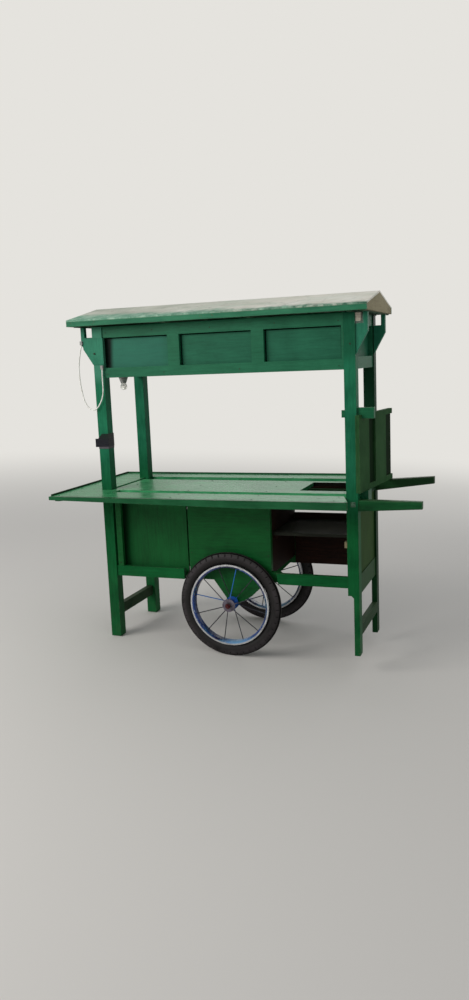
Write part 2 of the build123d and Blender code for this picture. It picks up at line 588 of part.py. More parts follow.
def make_right_end():
    """Handles and the skewed frame-and-board screen that stands beside the right posts."""
    x_face = FRAME_LENGTH + SCREEN_GAP
    outer = (x_face, x_face + SCREEN_THICK)
    inner = (x_face, x_face + SCREEN_THICK - SCREEN_RECESS)
    ends = (SCREEN_FRONT, SCREEN_FRONT + SCREEN_LENGTH)
    middle = (SCREEN_BOTTOM + SCREEN_RAIL, SCREEN_TOP - SCREEN_RAIL)
    frame = block(outer, ends, (SCREEN_BOTTOM, middle[0])) + block(outer, ends, (middle[1], SCREEN_TOP))
    for start, end in SCREEN_STILE_ENDS:
        frame = frame + block(outer, (SCREEN_FRONT + start, SCREEN_FRONT + end), (SCREEN_BOTTOM, SCREEN_TOP))
    fields = []
    starts = [end for start, end in SCREEN_STILE_ENDS]
    stops = [SCREEN_STILE_ENDS[1][0], SCREEN_LENGTH]
    for start, end in zip(starts, stops):
        fields.append(block(inner, (SCREEN_FRONT + start, SCREEN_FRONT + end), middle))
    pivot = Axis((x_face, 0, 0), (0, 0, 1))
    stub_x = (FRAME_LENGTH, FRAME_LENGTH + SCREEN_THICK + 2 * SCREEN_RECESS)
    stub = block(stub_x, (STUB_FRONT, STUB_FRONT + STUB_WIDTH), (SCREEN_BOTTOM - STUB_HEIGHT, SCREEN_BOTTOM))
    bar_x = (FRAME_LENGTH, FRAME_LENGTH + BAR_LENGTH)
    bar_y = (BAR_FRONT, BAR_FRONT + BAR_THICK)
    bar = block(bar_x, bar_y, (BAR_BOTTOM, BAR_BOTTOM + BAR_HEIGHT)) + bar_tenon(EASE)
    bar_notch = void(bar_x, bar_y, (BAR_BOTTOM, BAR_BOTTOM + BAR_HEIGHT))
    return {
        "handle_front": make_handle(POST / 2, FRONT_HANDLE_DROP),
        "handle_rear": make_handle(FRAME_DEPTH - POST / 2, REAR_HANDLE_DROP),
        "screen_frame": frame.rotate(pivot, -SCREEN_ANGLE) - bar_notch,
        "screen_fields": together([field.rotate(pivot, -SCREEN_ANGLE) for field in fields]),
        "screen_stub": stub,
        "screen_bar": bar,
    }


def make_axle():
    """One fixed steel axle through both hanger boards, with spacers and end nuts."""
    front_out = FRONT_WHEEL_Y - HUB_HALF_LENGTH - HUB_PLAY
    front_in = FRONT_WHEEL_Y + HUB_HALF_LENGTH + HUB_PLAY
    rear_in = REAR_WHEEL_Y - HUB_HALF_LENGTH - HUB_PLAY
    rear_out = REAR_WHEEL_Y + HUB_HALF_LENGTH + HUB_PLAY
    axle = axle_rod(front_out - AXLE_STUB, rear_out + AXLE_STUB, AXLE_RADIUS)
    spacers = ((front_out - AXLE_NUT_LENGTH, front_out), (front_in, BOARD_BACK),
               (REAR_BOARD_Y, rear_in), (rear_out, rear_out + AXLE_NUT_LENGTH))
    for low, high in spacers:
        axle = axle + axle_rod(low, high, AXLE_NUT_RADIUS)
    return {"axle": axle}


def make_wheel(name, y_middle):
    """A pneumatic tyre on a steel rim with rod spokes set alternately on the hub's two flanges."""
    half = RIM_WIDTH / 2
    seat = half - RIM_FLANGE
    well = RIM_WELL_WIDTH / 2
    rim_half = [(-half, RIM_RADIUS), (-seat, RIM_RADIUS), (-seat, RIM_BED_RADIUS)]
    rim_points = rim_half + [(-along, radius) for along, radius in reversed(rim_half)]
    rim_points += [(half, RIM_SIDE_RADIUS), (well, RIM_WELL_RADIUS),
                   (-well, RIM_WELL_RADIUS), (-half, RIM_SIDE_RADIUS)]
    bead = seat - TYRE_CLEARANCE
    lip = RIM_RADIUS + TYRE_CLEARANCE
    crown = WHEEL_RADIUS - lip
    tyre_half = [(-bead, RIM_BED_RADIUS + TYRE_CLEARANCE), (-bead, lip)]
    tyre_half += [(-wide * TYRE_WIDTH, lip + high * crown) for wide, high in TYRE_SHARES]
    tyre_points = tyre_half + [(-along, radius) for along, radius in reversed(tyre_half)]
    flange_in = HUB_FLANGE_OFFSET - HUB_FLANGE_THICK / 2
    flange_out = HUB_FLANGE_OFFSET + HUB_FLANGE_THICK / 2
    bore_radius = AXLE_RADIUS + AXLE_RUNNING_GAP
    hub_points = [(-HUB_HALF_LENGTH, bore_radius), (-HUB_HALF_LENGTH, HUB_RADIUS),
                  (-flange_out, HUB_RADIUS), (-flange_out, HUB_FLANGE_RADIUS),
                  (-flange_in, HUB_FLANGE_RADIUS), (-flange_in, HUB_RADIUS),
                  (flange_in, HUB_RADIUS), (flange_in, HUB_FLANGE_RADIUS),
                  (flange_out, HUB_FLANGE_RADIUS), (flange_out, HUB_RADIUS),
                  (HUB_HALF_LENGTH, HUB_RADIUS), (HUB_HALF_LENGTH, bore_radius)]
    hub = turned(hub_points, y_middle)
    root_radius = HUB_FLANGE_RADIUS - 2 * SPOKE_RADIUS
    end_radius = RIM_WELL_RADIUS - 2 * TYRE_CLEARANCE
    for index in range(SPOKE_COUNT):
        angle = math.radians(SPOKE_FIRST_ANGLE) + 2 * math.pi * index / SPOKE_COUNT
        side = 1 if index % 2 else -1
        across = math.cos(angle)
        upward = math.sin(angle)
        root_y = y_middle + side * HUB_FLANGE_OFFSET
        end_y = y_middle + side * SPOKE_SEAT_OFFSET
        start = (AXLE_X + root_radius * across, root_y, AXLE_Z + root_radius * upward)
        end = (AXLE_X + end_radius * across, end_y, AXLE_Z + end_radius * upward)
        hub = hub + spoke(start, end, SPOKE_RADIUS)
    return {
        "tyre_" + name: turned(tyre_points, y_middle),
        "rim_" + name: turned(rim_points, y_middle),
        "hub_" + name: hub,
    }


def lamp_body(levels):
    """A many-sided round body about the lamp's upright line through (radius, height) levels, top first."""
    stages = []
    for (wide, top), (narrow, bottom) in zip(levels, levels[1:]):
        section = Pos(LAMP_X, FRAME_DEPTH / 2, top) * RegularPolygon(wide, LAMP_SIDES, major_radius=False)
        closing = math.degrees(math.atan((wide - narrow) / (top - bottom)))
        stages.append(extrude(section, amount=top - bottom, dir=(0, 0, -1), taper=closing))
    return stages[0].fuse(*stages[1:]) if stages[1:] else stages[0]


def make_fittings():
    """Bulb and tapered holder under the left fascia, a wrapped band on a post, and a hanging cable."""
    holder_top = FASCIA_BOTTOM - EASE
    holder_bottom = holder_top - HOLDER_HEIGHT
    holder = lamp_body([(HOLDER_TOP_RADIUS, holder_top), (HOLDER_RADIUS, holder_bottom)])
    bulb_top = holder_bottom - EASE
    bulb = lamp_body([(BULB_RADIUS * wide, bulb_top - BULB_LENGTH * down) for wide, down in BULB_SHARES])
    out = BAND_GAP + BAND_THICK
    band_z = (BAND_BOTTOM, BAND_BOTTOM + BAND_HEIGHT)
    band = block((-out, POST + out), (-out, POST + out), band_z)
    band = band - void((-BAND_GAP, POST + BAND_GAP), (-BAND_GAP, POST + BAND_GAP), band_z)
    clips = []
    cable_ends = ((CABLE_ROUTE[0], CABLE_ROUTE[1], 0), (CABLE_ROUTE[-1], CABLE_ROUTE[-2], BOARD_SETBACK))
    for end, inner, y_seat in cable_ends:
        x, y, z = end
        y_range = (y - CLIP_HALF, y_seat - EASE)
        clip = void((x - CLIP_HALF, x + CLIP_HALF), y_range, (z - CLIP_GRIP, z + CLIP_HEIGHT))
        along = (Vector(*inner) - Vector(*end)).normalized()
        socket_top = Vector(*end) - along * EASE
        clips.append(clip - rod(tuple(socket_top), inner, CABLE_RADIUS + CLIP_PLAY))
    return {
        "lamp_holder": holder,
        "bulb": bulb,
        "post_band": band,
        "cable_clips": together(clips),
        "cable_loop": cord_tube(CABLE_ROUTE, CABLE_RADIUS),
    }


# Route of the cable that hangs beside the front left post, by hand, (x, y, z) in the level frame.
CABLE_ROUTE = [
    (49, -5, 1450), (48.5, -9, 1408), (52, -13, 1310), (10, -13, 1244), (-22, -13, 1240), (-58, -12, 1276),
    (-75, -10, 1345), (-83, -9, 1420), (-79, -8, 1500), (-60, -4, 1575),
]


def park(shapes):
    """Turn the level cart about its axle until wheels and left feet touch the floor, then centre it."""
    drop = AXLE_Z - FOOT_HEIGHT
    reach = math.hypot(AXLE_X, drop)
    tilt = math.asin(WHEEL_RADIUS / reach) - math.atan2(drop, AXLE_X)
    axle_line = Axis((AXLE_X, 0, AXLE_Z), (0, 1, 0))
    leaning = {name: shape.rotate(axle_line, -math.degrees(tilt)) for name, shape in shapes.items()}
    boxes = [shape.bounding_box() for shape in leaning.values()]
    x_middle = (min(box.min.X for box in boxes) + max(box.max.X for box in boxes)) / 2
    y_middle = (min(box.min.Y for box in boxes) + max(box.max.Y for box in boxes)) / 2
    print("tilt degrees", round(math.degrees(tilt), 5))
    print("level point moved to origin", round(x_middle, 3), round(y_middle, 3))
    print("axle in row frame", round(AXLE_X - x_middle, 3), round(-y_middle, 3), WHEEL_RADIUS)
    to_middle = Pos(-x_middle, -y_middle, WHEEL_RADIUS - AXLE_Z)
    return {name: to_middle * shape for name, shape in leaning.items()}


os.makedirs("parts", exist_ok=True)
pieces = {}
for section in (make_posts(), make_lower_rails(), make_cabinet(), make_deck(), make_canopy_sides(),
                make_brackets(), make_roof(), make_right_end(), make_axle(),
                make_wheel("front", FRONT_WHEEL_Y), make_wheel("rear", REAR_WHEEL_Y), make_fittings()):
    pieces.update(section)
for node, shape in park(pieces).items():
    export_step(shape, "parts/" + node + ".step")
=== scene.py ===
import math

import bpy
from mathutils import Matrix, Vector


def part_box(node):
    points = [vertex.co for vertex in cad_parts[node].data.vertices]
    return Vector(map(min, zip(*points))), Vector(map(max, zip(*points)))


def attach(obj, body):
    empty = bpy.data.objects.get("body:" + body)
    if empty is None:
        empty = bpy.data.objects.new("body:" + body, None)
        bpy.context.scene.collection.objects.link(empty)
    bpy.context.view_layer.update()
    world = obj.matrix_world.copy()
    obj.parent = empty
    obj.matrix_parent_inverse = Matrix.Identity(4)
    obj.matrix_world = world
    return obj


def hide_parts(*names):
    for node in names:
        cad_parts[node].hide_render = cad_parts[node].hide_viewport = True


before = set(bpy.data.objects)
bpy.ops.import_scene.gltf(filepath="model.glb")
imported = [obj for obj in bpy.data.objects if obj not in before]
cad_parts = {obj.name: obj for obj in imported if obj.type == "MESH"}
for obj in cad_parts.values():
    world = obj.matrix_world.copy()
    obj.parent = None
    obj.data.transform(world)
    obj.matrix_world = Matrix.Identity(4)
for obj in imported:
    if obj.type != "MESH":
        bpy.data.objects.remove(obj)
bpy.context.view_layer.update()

# ---------------------------------------------------------------- camera
# The camera stands where the photograph was taken: a little right of the cart, at standing eye height.
# Place, turn and lens come from fitting a view to the posts, the deck's corners and both wheels.
bpy.ops.object.camera_add(
    location=(1.3700, -3.9784, 1.5707),
    rotation=[math.radians(angle) for angle in (79.063, -1.367, 20.232)])
camera = bpy.context.object
camera.name = "camera"
camera.data.lens = 30.08
camera.data.sensor_width = 36.0
camera.data.clip_end = 300.0
bpy.context.scene.camera = camera


# ---------------------------------------------------------------- floor and light
# A plain pale studio floor under a pale surround, with a broad front light, a window-like light behind that
# puts the gloss on the deck, and a soft fill on the handle side.
def display_colour(red, green, blue):
    """A colour as it is seen on a screen, 0 to 255, as the linear values that shaders take."""
    linear = []
    for part in (red, green, blue):
        level = part / 255
        linear.append(level / 12.92 if level <= 0.04045 else ((level + 0.055) / 1.055) ** 2.4)
    return (*linear, 1.0)


def fill_sockets(tree, node, sockets):
    """Give each named socket of a node a value, or link it from another socket."""
    for key, value in sockets.items():
        if isinstance(value, bpy.types.NodeSocket):
            tree.links.new(value, node.inputs[key])
        else:
            node.inputs[key].default_value = value


def add_node(tree, kind, sockets=None, **settings):
    """A shader node with its settings and what its sockets are given."""
    node = tree.nodes.new("ShaderNode" + kind)
    for name, value in settings.items():
        setattr(node, name, value)
    fill_sockets(tree, node, sockets or {})
    return node


def product_of(tree, first, second):
    """One value times another."""
    return add_node(tree, "Math", {0: first, 1: second}, operation="MULTIPLY").outputs[0]


def larger_of(tree, first, second):
    """The larger of two values."""
    return add_node(tree, "Math", {0: first, 1: second}, operation="MAXIMUM").outputs[0]


def new_material(name):
    """A material with a Principled shader, its tree and its Object coordinates."""
    material = bpy.data.materials.new(name)
    material.use_nodes = True
    tree = material.node_tree
    shader = tree.nodes["Principled BSDF"]
    coordinates = add_node(tree, "TexCoord").outputs["Object"]
    return material, tree, shader, coordinates


PALE_BACKDROP = display_colour(229, 227, 222)
bpy.ops.object.select_all(action="DESELECT")
bpy.ops.mesh.primitive_plane_add(size=160)
floor = bpy.context.object
floor.name = "studio_floor"
floor_finish, tree, shader, coordinates = new_material("pale_floor")
fill_sockets(tree, shader, {
    "Base Color": display_colour(211, 208, 203), "Roughness": 0.9, "Specular IOR Level": 0.1})
rays = add_node(tree, "LightPath").outputs
from_cart = add_node(tree, "VectorMath", {0: coordinates}, operation="LENGTH").outputs["Value"]
far_off = add_node(tree, "MapRange", {"Value": from_cart, "From Min": 2.6, "From Max": 8.0},
                   interpolation_type="SMOOTHSTEP").outputs[0]
backdrop = add_node(tree, "Emission", {"Color": PALE_BACKDROP, "Strength": 1.0})
shown = add_node(tree, "MixShader", {
    0: product_of(tree, far_off, rays["Is Camera Ray"]), 1: shader.outputs[0], 2: backdrop.outputs[0]})
tree.links.new(shown.outputs[0], tree.nodes["Material Output"].inputs["Surface"])
floor.data.materials.append(floor_finish)

world = bpy.data.worlds.new("studio_world")
bpy.context.scene.world = world
world.use_nodes = True
tree = world.node_tree
tree.nodes.clear()
rays = add_node(tree, "LightPath").outputs
seen = larger_of(tree, rays["Is Camera Ray"], rays["Is Transmission Ray"])
lighting = add_node(tree, "Background", {"Color": display_colour(238, 240, 243), "Strength": 0.55})
surround = add_node(tree, "Background", {"Color": PALE_BACKDROP, "Strength": 1.0})
shown = add_node(tree, "MixShader", {
    0: larger_of(tree, seen, rays["Is Glossy Ray"]), 1: lighting.outputs[0], 2: surround.outputs[0]})
add_node(tree, "OutputWorld", {"Surface": shown.outputs[0]})


def add_softbox(name, place, aim, width, height, power, colour):
    """A rectangular area lamp that points at a place."""
    bpy.ops.object.light_add(type="AREA", location=place)
    lamp = bpy.context.object
    lamp.name = name
    lamp.rotation_euler = (Vector(aim) - Vector(place)).to_track_quat("-Z", "Y").to_euler()
    lamp.data.shape = "RECTANGLE"
    lamp.data.size = width
    lamp.data.size_y = height
    lamp.data.energy = power
    lamp.data.color = colour


add_softbox("front_light", (-3.2, -3.9, 2.9), (0, 0, 0.8), 3.2, 2.2, 165, (1.0, 0.985, 0.96))
add_softbox("window_light", (-0.4, 4.6, 2.6), (0, 0, 0.9), 4.5, 1.8, 26, (0.97, 0.99, 1.0))
add_softbox("handle_side_light", (4.6, -0.8, 2.2), (0.3, 0, 0.8), 2.0, 2.2, 9, (1.0, 0.95, 0.86))
bpy.context.scene.view_settings.view_transform = "Standard"


# ---------------------------------------------------------------- shared effects of paint and wood
# The boards are brushed by hand with oil paint and worn by use and weather. Four effects make that up: brush
# marks, rubbed edges, flaked chips and settled dust. The marks follow the boards of the leaning cart.
LEAN = math.radians(3.95797)
axle_middle = sum(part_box("axle"), Vector()) / 2


def new_group(name, takes, gives):
    """A shader node group; takes are (name, kind, value), gives are (name, kind)."""
    group = bpy.data.node_groups.new(name, "ShaderNodeTree")
    for label, kind, value in takes:
        socket = group.interface.new_socket(label, in_out="INPUT", socket_type="NodeSocket" + kind)
        if value is not None:
            socket.default_value = value
    for label, kind in gives:
        group.interface.new_socket(label, in_out="OUTPUT", socket_type="NodeSocket" + kind)
    return group, group.nodes.new("NodeGroupInput").outputs, group.nodes.new("NodeGroupOutput")


def parts_of(tree, vector):
    """A vector's X, Y and Z."""
    return add_node(tree, "SeparateXYZ", {0: vector}).outputs


def noise(tree, vector, scale, detail=3.0, roughness=0.55, distortion=0.0):
    """Fractal noise, 0 to 1."""
    node = add_node(tree, "TexNoise", {"Vector": vector, "Scale": scale, "Detail": detail,
                                       "Roughness": roughness, "Distortion": distortion})
    return node.outputs["Fac"]


def spread(tree, value, low, high, new_low=0.0, new_high=1.0):
    """A value's range stretched to another range and held inside it."""
    node = add_node(tree, "MapRange", {"Value": value, "From Min": low, "From Max": high,
                                       "To Min": new_low, "To Max": new_high})
    return node.outputs["Result"]


def sum_of(tree, first, second):
    """One value added to another."""
    return add_node(tree, "Math", {0: first, 1: second}, operation="ADD").outputs[0]


def difference_of(tree, first, second):
    """One value less another."""
    return add_node(tree, "Math", {0: first, 1: second}, operation="SUBTRACT").outputs[0]


def weighed(tree, share, first, second):
    """Two values added together; share is the part that the first one has."""
    return sum_of(tree, product_of(tree, first, share), product_of(tree, second, 1.0 - share))


def blend(tree, share, first, second):
    """A mix of two colours, each a socket or a screen colour; a share of 0 gives the first."""
    first, second = (colour if isinstance(colour, bpy.types.NodeSocket) else display_colour(*colour)
                     for colour in (first, second))
    return add_node(tree, "Mix", {0: share, 6: first, 7: second}, data_type="RGBA").outputs[2]


# Brush marks: long streaks that a coarse brush leaves along each board, and broader blotches.
brush_marks, given, result = new_group(
    "brush_marks",
    [("Vector", "Vector", None), ("Stretch", "Vector", (1.0, 12.0, 12.0))],
    [("Streaks", "Float"), ("Blotches", "Float"), ("Height", "Float")])
level = add_node(brush_marks, "VectorRotate", {
    "Vector": given["Vector"], "Center": tuple(axle_middle), "Angle": LEAN},
    rotation_type="Y_AXIS").outputs[0]
drawn_out = add_node(
    brush_marks, "VectorMath", {0: level, 1: given["Stretch"]}, operation="MULTIPLY").outputs[0]
coarse = noise(brush_marks, drawn_out, 9.0, 4.0, 0.6)
fine = noise(brush_marks, drawn_out, 42.0, 3.0, 0.6)
streaks = weighed(brush_marks, 0.62, coarse, fine)
blotches = noise(brush_marks, level, 5.5, 4.0, 0.6, 0.4)
fill_sockets(brush_marks, result, {
    "Streaks": spread(brush_marks, streaks, 0.34, 0.66),
    "Blotches": spread(brush_marks, blotches, 0.35, 0.68), "Height": streaks})

# Edge wear: arrises that hands, ropes and rubbing have rounded and rubbed pale. The mask is where the
# rounded and the true surface directions differ, broken up by noise.
edge_wear, given, result = new_group(
    "edge_wear",
    [("Vector", "Vector", None), ("Radius", "Float", 0.003), ("Amount", "Float", 0.5)],
    [("Mask", "Float"), ("Normal", "Vector")])
rounded = add_node(edge_wear, "Bevel", {"Radius": given["Radius"]}, samples=4).outputs[0]
true_face = add_node(edge_wear, "NewGeometry").outputs["True Normal"]
alike = add_node(
    edge_wear, "VectorMath", {0: rounded, 1: true_face}, operation="DOT_PRODUCT").outputs["Value"]
ridge = spread(edge_wear, alike, 1.0, 0.84)
broken = noise(edge_wear, given["Vector"], 26.0, 5.0, 0.7)
limit = difference_of(edge_wear, 0.86, given["Amount"])
patchy = spread(edge_wear, difference_of(edge_wear, broken, limit), 0.0, 0.1)
fill_sockets(edge_wear, result, {"Mask": product_of(edge_wear, ridge, patchy), "Normal": rounded})

# Chips: small spots where paint has flaked off down to the wood, in some places more than in others.
paint_chips, given, result = new_group(
    "paint_chips",
    [("Vector", "Vector", None), ("Size", "Float", 60.0), ("Amount", "Float", 0.3)],
    [("Mask", "Float")])
spots = noise(paint_chips, given["Vector"], given["Size"], 5.0, 0.72, 0.3)
places = noise(paint_chips, given["Vector"], 4.0, 2.0, 0.5)
both = sum_of(paint_chips, spots, product_of(paint_chips, places, 0.45))
chip_limit = difference_of(paint_chips, 1.08, product_of(paint_chips, given["Amount"], 0.3))
flaking = difference_of(paint_chips, both, chip_limit)
fill_sockets(paint_chips, result, {"Mask": spread(paint_chips, flaking, 0.0, 0.02)})

# Settled dust: a pale grey film, thickest on faces that look up and low down near the road.
settled_dust, given, result = new_group(
    "settled_dust",
    [("Vector", "Vector", None), ("Amount", "Float", 0.4), ("Road", "Float", 0.3)],
    [("Mask", "Float")])
facing = parts_of(settled_dust, add_node(settled_dust, "NewGeometry").outputs["Normal"])
upward = product_of(settled_dust, spread(settled_dust, facing["Z"], 0.2, 0.95), given["Amount"])
above_road = parts_of(settled_dust, given["Vector"])["Z"]
low_down = product_of(settled_dust, spread(settled_dust, above_road, 0.5, 0.0), given["Road"])
clouds = spread(settled_dust, noise(settled_dust, given["Vector"], 13.0, 5.0, 0.62, 0.5), 0.3, 0.72)
film = sum_of(settled_dust, upward, low_down)
fill_sockets(settled_dust, result, {"Mask": product_of(settled_dust, film, clouds)})


def use_group(tree, group, sockets):
    """A group placed in a material with that material's own values."""
    node = tree.nodes.new("ShaderNodeGroup")
    node.node_tree = group
    fill_sockets(tree, node, sockets)
    return node.outputs


def place_effects(tree, coordinates, stretch, edge, wear, chip_size, chips, dust, road):
    """The four effects placed in one material: brush marks, edge wear, chips and dust."""
    return (use_group(tree, brush_marks, {"Vector": coordinates, "Stretch": stretch}),
            use_group(tree, edge_wear, {"Vector": coordinates, "Radius": edge, "Amount": wear}),
            use_group(tree, paint_chips, {"Vector": coordinates, "Size": chip_size, "Amount": chips}),
            use_group(tree, settled_dust, {"Vector": coordinates, "Amount": dust, "Road": road}))


ALONG_X = (1.0, 14.0, 14.0)
ALONG_Y = (14.0, 1.0, 14.0)
UPRIGHT = (14.0, 14.0, 1.0)
PRIMER = (112, 132, 104)
BARE_WOOD = (92, 78, 56)
DUST = (120, 116, 96)


def weathered(tree, paint, rubbed, flaked, dusty, bare=BARE_WOOD, edge_share=0.75, dust_share=1.0):
    """Paint rubbed to its primer at the edges, flaked to what lies bare under it, and dusted over."""
    edged = blend(tree, product_of(tree, rubbed["Mask"], edge_share), paint, PRIMER)
    chipped = blend(tree, flaked["Mask"], edged, bare)
    return blend(tree, product_of(tree, dusty["Mask"], dust_share), chipped, DUST)


def bumped(tree, height, strength, distance, normal=None):
    """The surface direction of small raised and sunken marks."""
    sockets = {"Strength": strength, "Distance": distance, "Height": height}
    if normal is not None:
        sockets["Normal"] = normal
    return add_node(tree, "Bump", sockets).outputs[0]


def painted_wood(name, dark, pale, stretch, rough, wear=0.3, chips=0.25, dust=0.07, road=0.07, edge=0.0022,
                 gloss=0.12):
    """Brushed oil paint over boards: streaks, faded patches, rubbed edges, flaked chips and dust."""
    material, tree, shader, coordinates = new_material(name)
    marks, rubbed, flaked, dusty = place_effects(
        tree, coordinates, stretch, edge, wear, chip_size=55.0, chips=chips, dust=dust, road=road)
    tone = weighed(tree, 0.55, marks["Streaks"], marks["Blotches"])
    dulled = larger_of(tree, dusty["Mask"], flaked["Mask"])
    base_rough = spread(tree, marks["Streaks"], 0.0, 1.0, rough - 0.05, rough + 0.09)
    depth = difference_of(tree, marks["Height"], product_of(tree, flaked["Mask"], 0.35))
    fill_sockets(tree, shader, {
        "Base Color": weathered(tree, blend(tree, tone, dark, pale), rubbed, flaked, dusty),
        "Roughness": sum_of(tree, base_rough, product_of(tree, dulled, 0.35)),
        "Specular IOR Level": gloss,
        "Normal": bumped(tree, depth, 0.42, 0.0012, rubbed["Normal"])})
    return material


def repaint_part(material, colour, bounds, share=1.0):
    """Blend one part of a finish to another colour; bounds are (axis, where it is nil, where it is whole)."""
    tree = material.node_tree
    shader = tree.nodes["Principled BSDF"]
    parts = parts_of(tree, add_node(tree, "TexCoord").outputs["Object"])
    mask = share
    for axis, nil, whole in bounds:
        mask = product_of(tree, mask, spread(tree, parts[axis], nil, whole))
    plain = shader.inputs["Base Color"].links[0].from_socket
    tree.links.new(blend(tree, mask, plain, colour), shader.inputs["Base Color"])


def finish_nodes(material, *names):
    """Give CAD nodes a finish through their objects' own slots."""
    for name in names:
        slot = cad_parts[name].material_slots[0]
        slot.link = "OBJECT"
        slot.material = material


# ---------------------------------------------------------------- posts and legs
# Four squared timber posts, brushed blue-green above the deck and in deeper green below it, the right pair
# sawn back to slim legs. Boards are nailed to their faces.
post_paint, tree, shader, coordinates = new_material("post_paint")
marks, rubbed, flaked, dusty = place_effects(
    tree, coordinates, UPRIGHT, edge=0.0024, wear=0.36, chip_size=48.0, chips=0.42, dust=0.07, road=0.08)
tone = weighed(tree, 0.5, marks["Streaks"], marks["Blotches"])
low_paint = blend(tree, tone, (5, 60, 30), (18, 96, 50))
high_paint = blend(tree, tone, (14, 78, 54), (38, 120, 86))
above_deck = spread(tree, parts_of(tree, coordinates)["Z"], 0.74, 0.98)
fill_sockets(tree, shader, {
    "Base Color": weathered(tree, blend(tree, above_deck, low_paint, high_paint), rubbed, flaked, dusty),
    "Roughness": spread(tree, marks["Streaks"], 0.0, 1.0, 0.34, 0.5),
    "Specular IOR Level": 0.045,
    "Normal": bumped(tree, marks["Height"], 0.42, 0.0012, rubbed["Normal"])})

# The rear right post is painted darkest, as the shade it stands in. The front left one is paler at its top,
# partly hazed paint and partly painted light that lifts the shade under its bracket and clip, and the front
# right one is painted darker there as shade.
LEFT_POSTS, RIGHT_POSTS = ("X", -0.3, -0.31), ("X", 0.3, 0.31)
FRONT_POSTS, REAR_POSTS = ("Y", -0.05, -0.06), ("Y", 0.1, 0.11)
repaint_part(post_paint, (9, 34, 14), [RIGHT_POSTS, REAR_POSTS], 0.8)
repaint_part(post_paint, (66, 128, 104), [LEFT_POSTS, FRONT_POSTS, ("Z", 1.32, 1.37)], 0.85)
repaint_part(post_paint, (20, 62, 42), [RIGHT_POSTS, FRONT_POSTS, ("Z", 1.46, 1.52)], 0.45)
finish_nodes(post_paint, "post_front_left", "post_rear_left", "post_front_right", "post_rear_right")


# ---------------------------------------------------------------- lower rails and cabinet
# Plank sides in the deeper green, with recessed panels, a stile, and boards that carry the axle. The open
# bay at the right keeps the dark stained wood of its inside, painted darker still as the shade in the bay.
cabinet_paint = painted_wood("cabinet_paint", (4, 57, 23), (12, 91, 40), ALONG_X, 0.44)
panel_paint = painted_wood("cabinet_panel_paint", (5, 58, 24), (14, 89, 41), UPRIGHT, 0.5, wear=0.25)
# The end panels face right, where less light falls; their dull olive green is painted shade.
end_shade_paint = painted_wood("cabinet_end_shade_paint", (28, 52, 22), (56, 84, 42), UPRIGHT, 0.55, dust=0.05, road=0.1,
                         gloss=0.03)
rail_paint = painted_wood("rail_paint", (5, 64, 30), (15, 97, 49), ALONG_X, 0.42, wear=0.35, chips=0.3,
                          gloss=0.05)
cross_paint = painted_wood("cross_rail_paint", (12, 40, 21), (34, 66, 38), ALONG_Y, 0.48, wear=0.4, chips=0.4,
                           road=0.15, gloss=0.04)

# The front panel is painted dark beside the left stile, as the stile's shadow, and the bottom rail at the
# right end is duller.
STILE_SHADOW_WIDTH, STILE_SHADOW_FADE = 0.075, 0.03
panel_low, panel_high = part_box("panel_front")
stile_shadow_end = panel_low.x + STILE_SHADOW_WIDTH
repaint_part(panel_paint, (2, 26, 10), [
    ("X", stile_shadow_end + STILE_SHADOW_FADE, stile_shadow_end), ("Y", panel_high.y + 0.02, panel_high.y + 0.01)], 0.8)
# The rail's right end faces right, where less light falls; its duller olive is painted shade.
right_rail_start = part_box("bottom_rails")[1].x - 0.022
repaint_part(rail_paint, (30, 60, 26), [("X", right_rail_start, right_rail_start + 0.004)], 0.8)
finish_nodes(cabinet_paint, "axle_board_front", "stile_front_left")
finish_nodes(panel_paint, "panel_front", "axle_board_rear")
finish_nodes(end_shade_paint, "end_panels")
finish_nodes(rail_paint, "bottom_rails")
finish_nodes(cross_paint, "leg_stretchers")


def stained_wood(name, dark, pale, stretch, rough):
    """Bare or stained boards with grain, dull from handling."""
    material, tree, shader, coordinates = new_material(name)
    marks = use_group(tree, brush_marks, {"Vector": coordinates, "Stretch": stretch})
    rubbed = use_group(tree, edge_wear, {"Vector": coordinates, "Radius": 0.002, "Amount": 0.3})
    dusty = use_group(tree, settled_dust, {"Vector": coordinates, "Amount": 0.08, "Road": 0.05})
    grain = blend(tree, marks["Streaks"], dark, pale)
    shade = blend(tree, product_of(tree, marks["Blotches"], 0.4), grain, dark)
    fill_sockets(tree, shader, {
        "Base Color": blend(tree, dusty["Mask"], shade, DUST), "Roughness": rough, "Specular IOR Level": 0.1,
        "Normal": bumped(tree, marks["Height"], 0.5, 0.0014, rubbed["Normal"])})
    return material


# The inside's dark brown is stain, painted darker still as the shade inside the bay.
shaded_inner_wood = stained_wood("shaded_inner_wood", (16, 9, 6), (50, 26, 17), ALONG_X, 0.62)
shelf_wood = stained_wood("shelf_wood", (12, 14, 10), (40, 42, 33), ALONG_X, 0.55)
finish_nodes(shaded_inner_wood, "back_panels", "partition", "floor_board", "rear_top_board", "shelf_cleats")
finish_nodes(shelf_wood, "shelf")


# ---------------------------------------------------------------- serving deck
# Broad boards under a thick glossy coat that the brush has left streaked, worn pale where goods slide, set
# a hand's width apart on cross arms. The nosing and the ends of the arms take the deeper green.
deck_gloss, tree, shader, coordinates = new_material("deck_gloss")
marks, rubbed, flaked, dusty = place_effects(
    tree, coordinates, (1.0, 9.0, 9.0), edge=0.003, wear=0.45, chip_size=70.0, chips=0.5, dust=0.1, road=0.0)
tone = weighed(tree, 0.6, marks["Streaks"], marks["Blotches"])
gloss_coat = blend(tree, tone, (16, 104, 60), (80, 166, 112))
fill_sockets(tree, shader, {
    "Base Color": weathered(tree, gloss_coat, rubbed, flaked, dusty, (46, 56, 38), 0.7, 0.5),
    "Roughness": spread(tree, marks["Streaks"], 0.0, 1.0, 0.22, 0.38),
    "Specular IOR Level": 0.08,
    "Normal": bumped(tree, marks["Height"], 0.14, 0.001, rubbed["Normal"])})


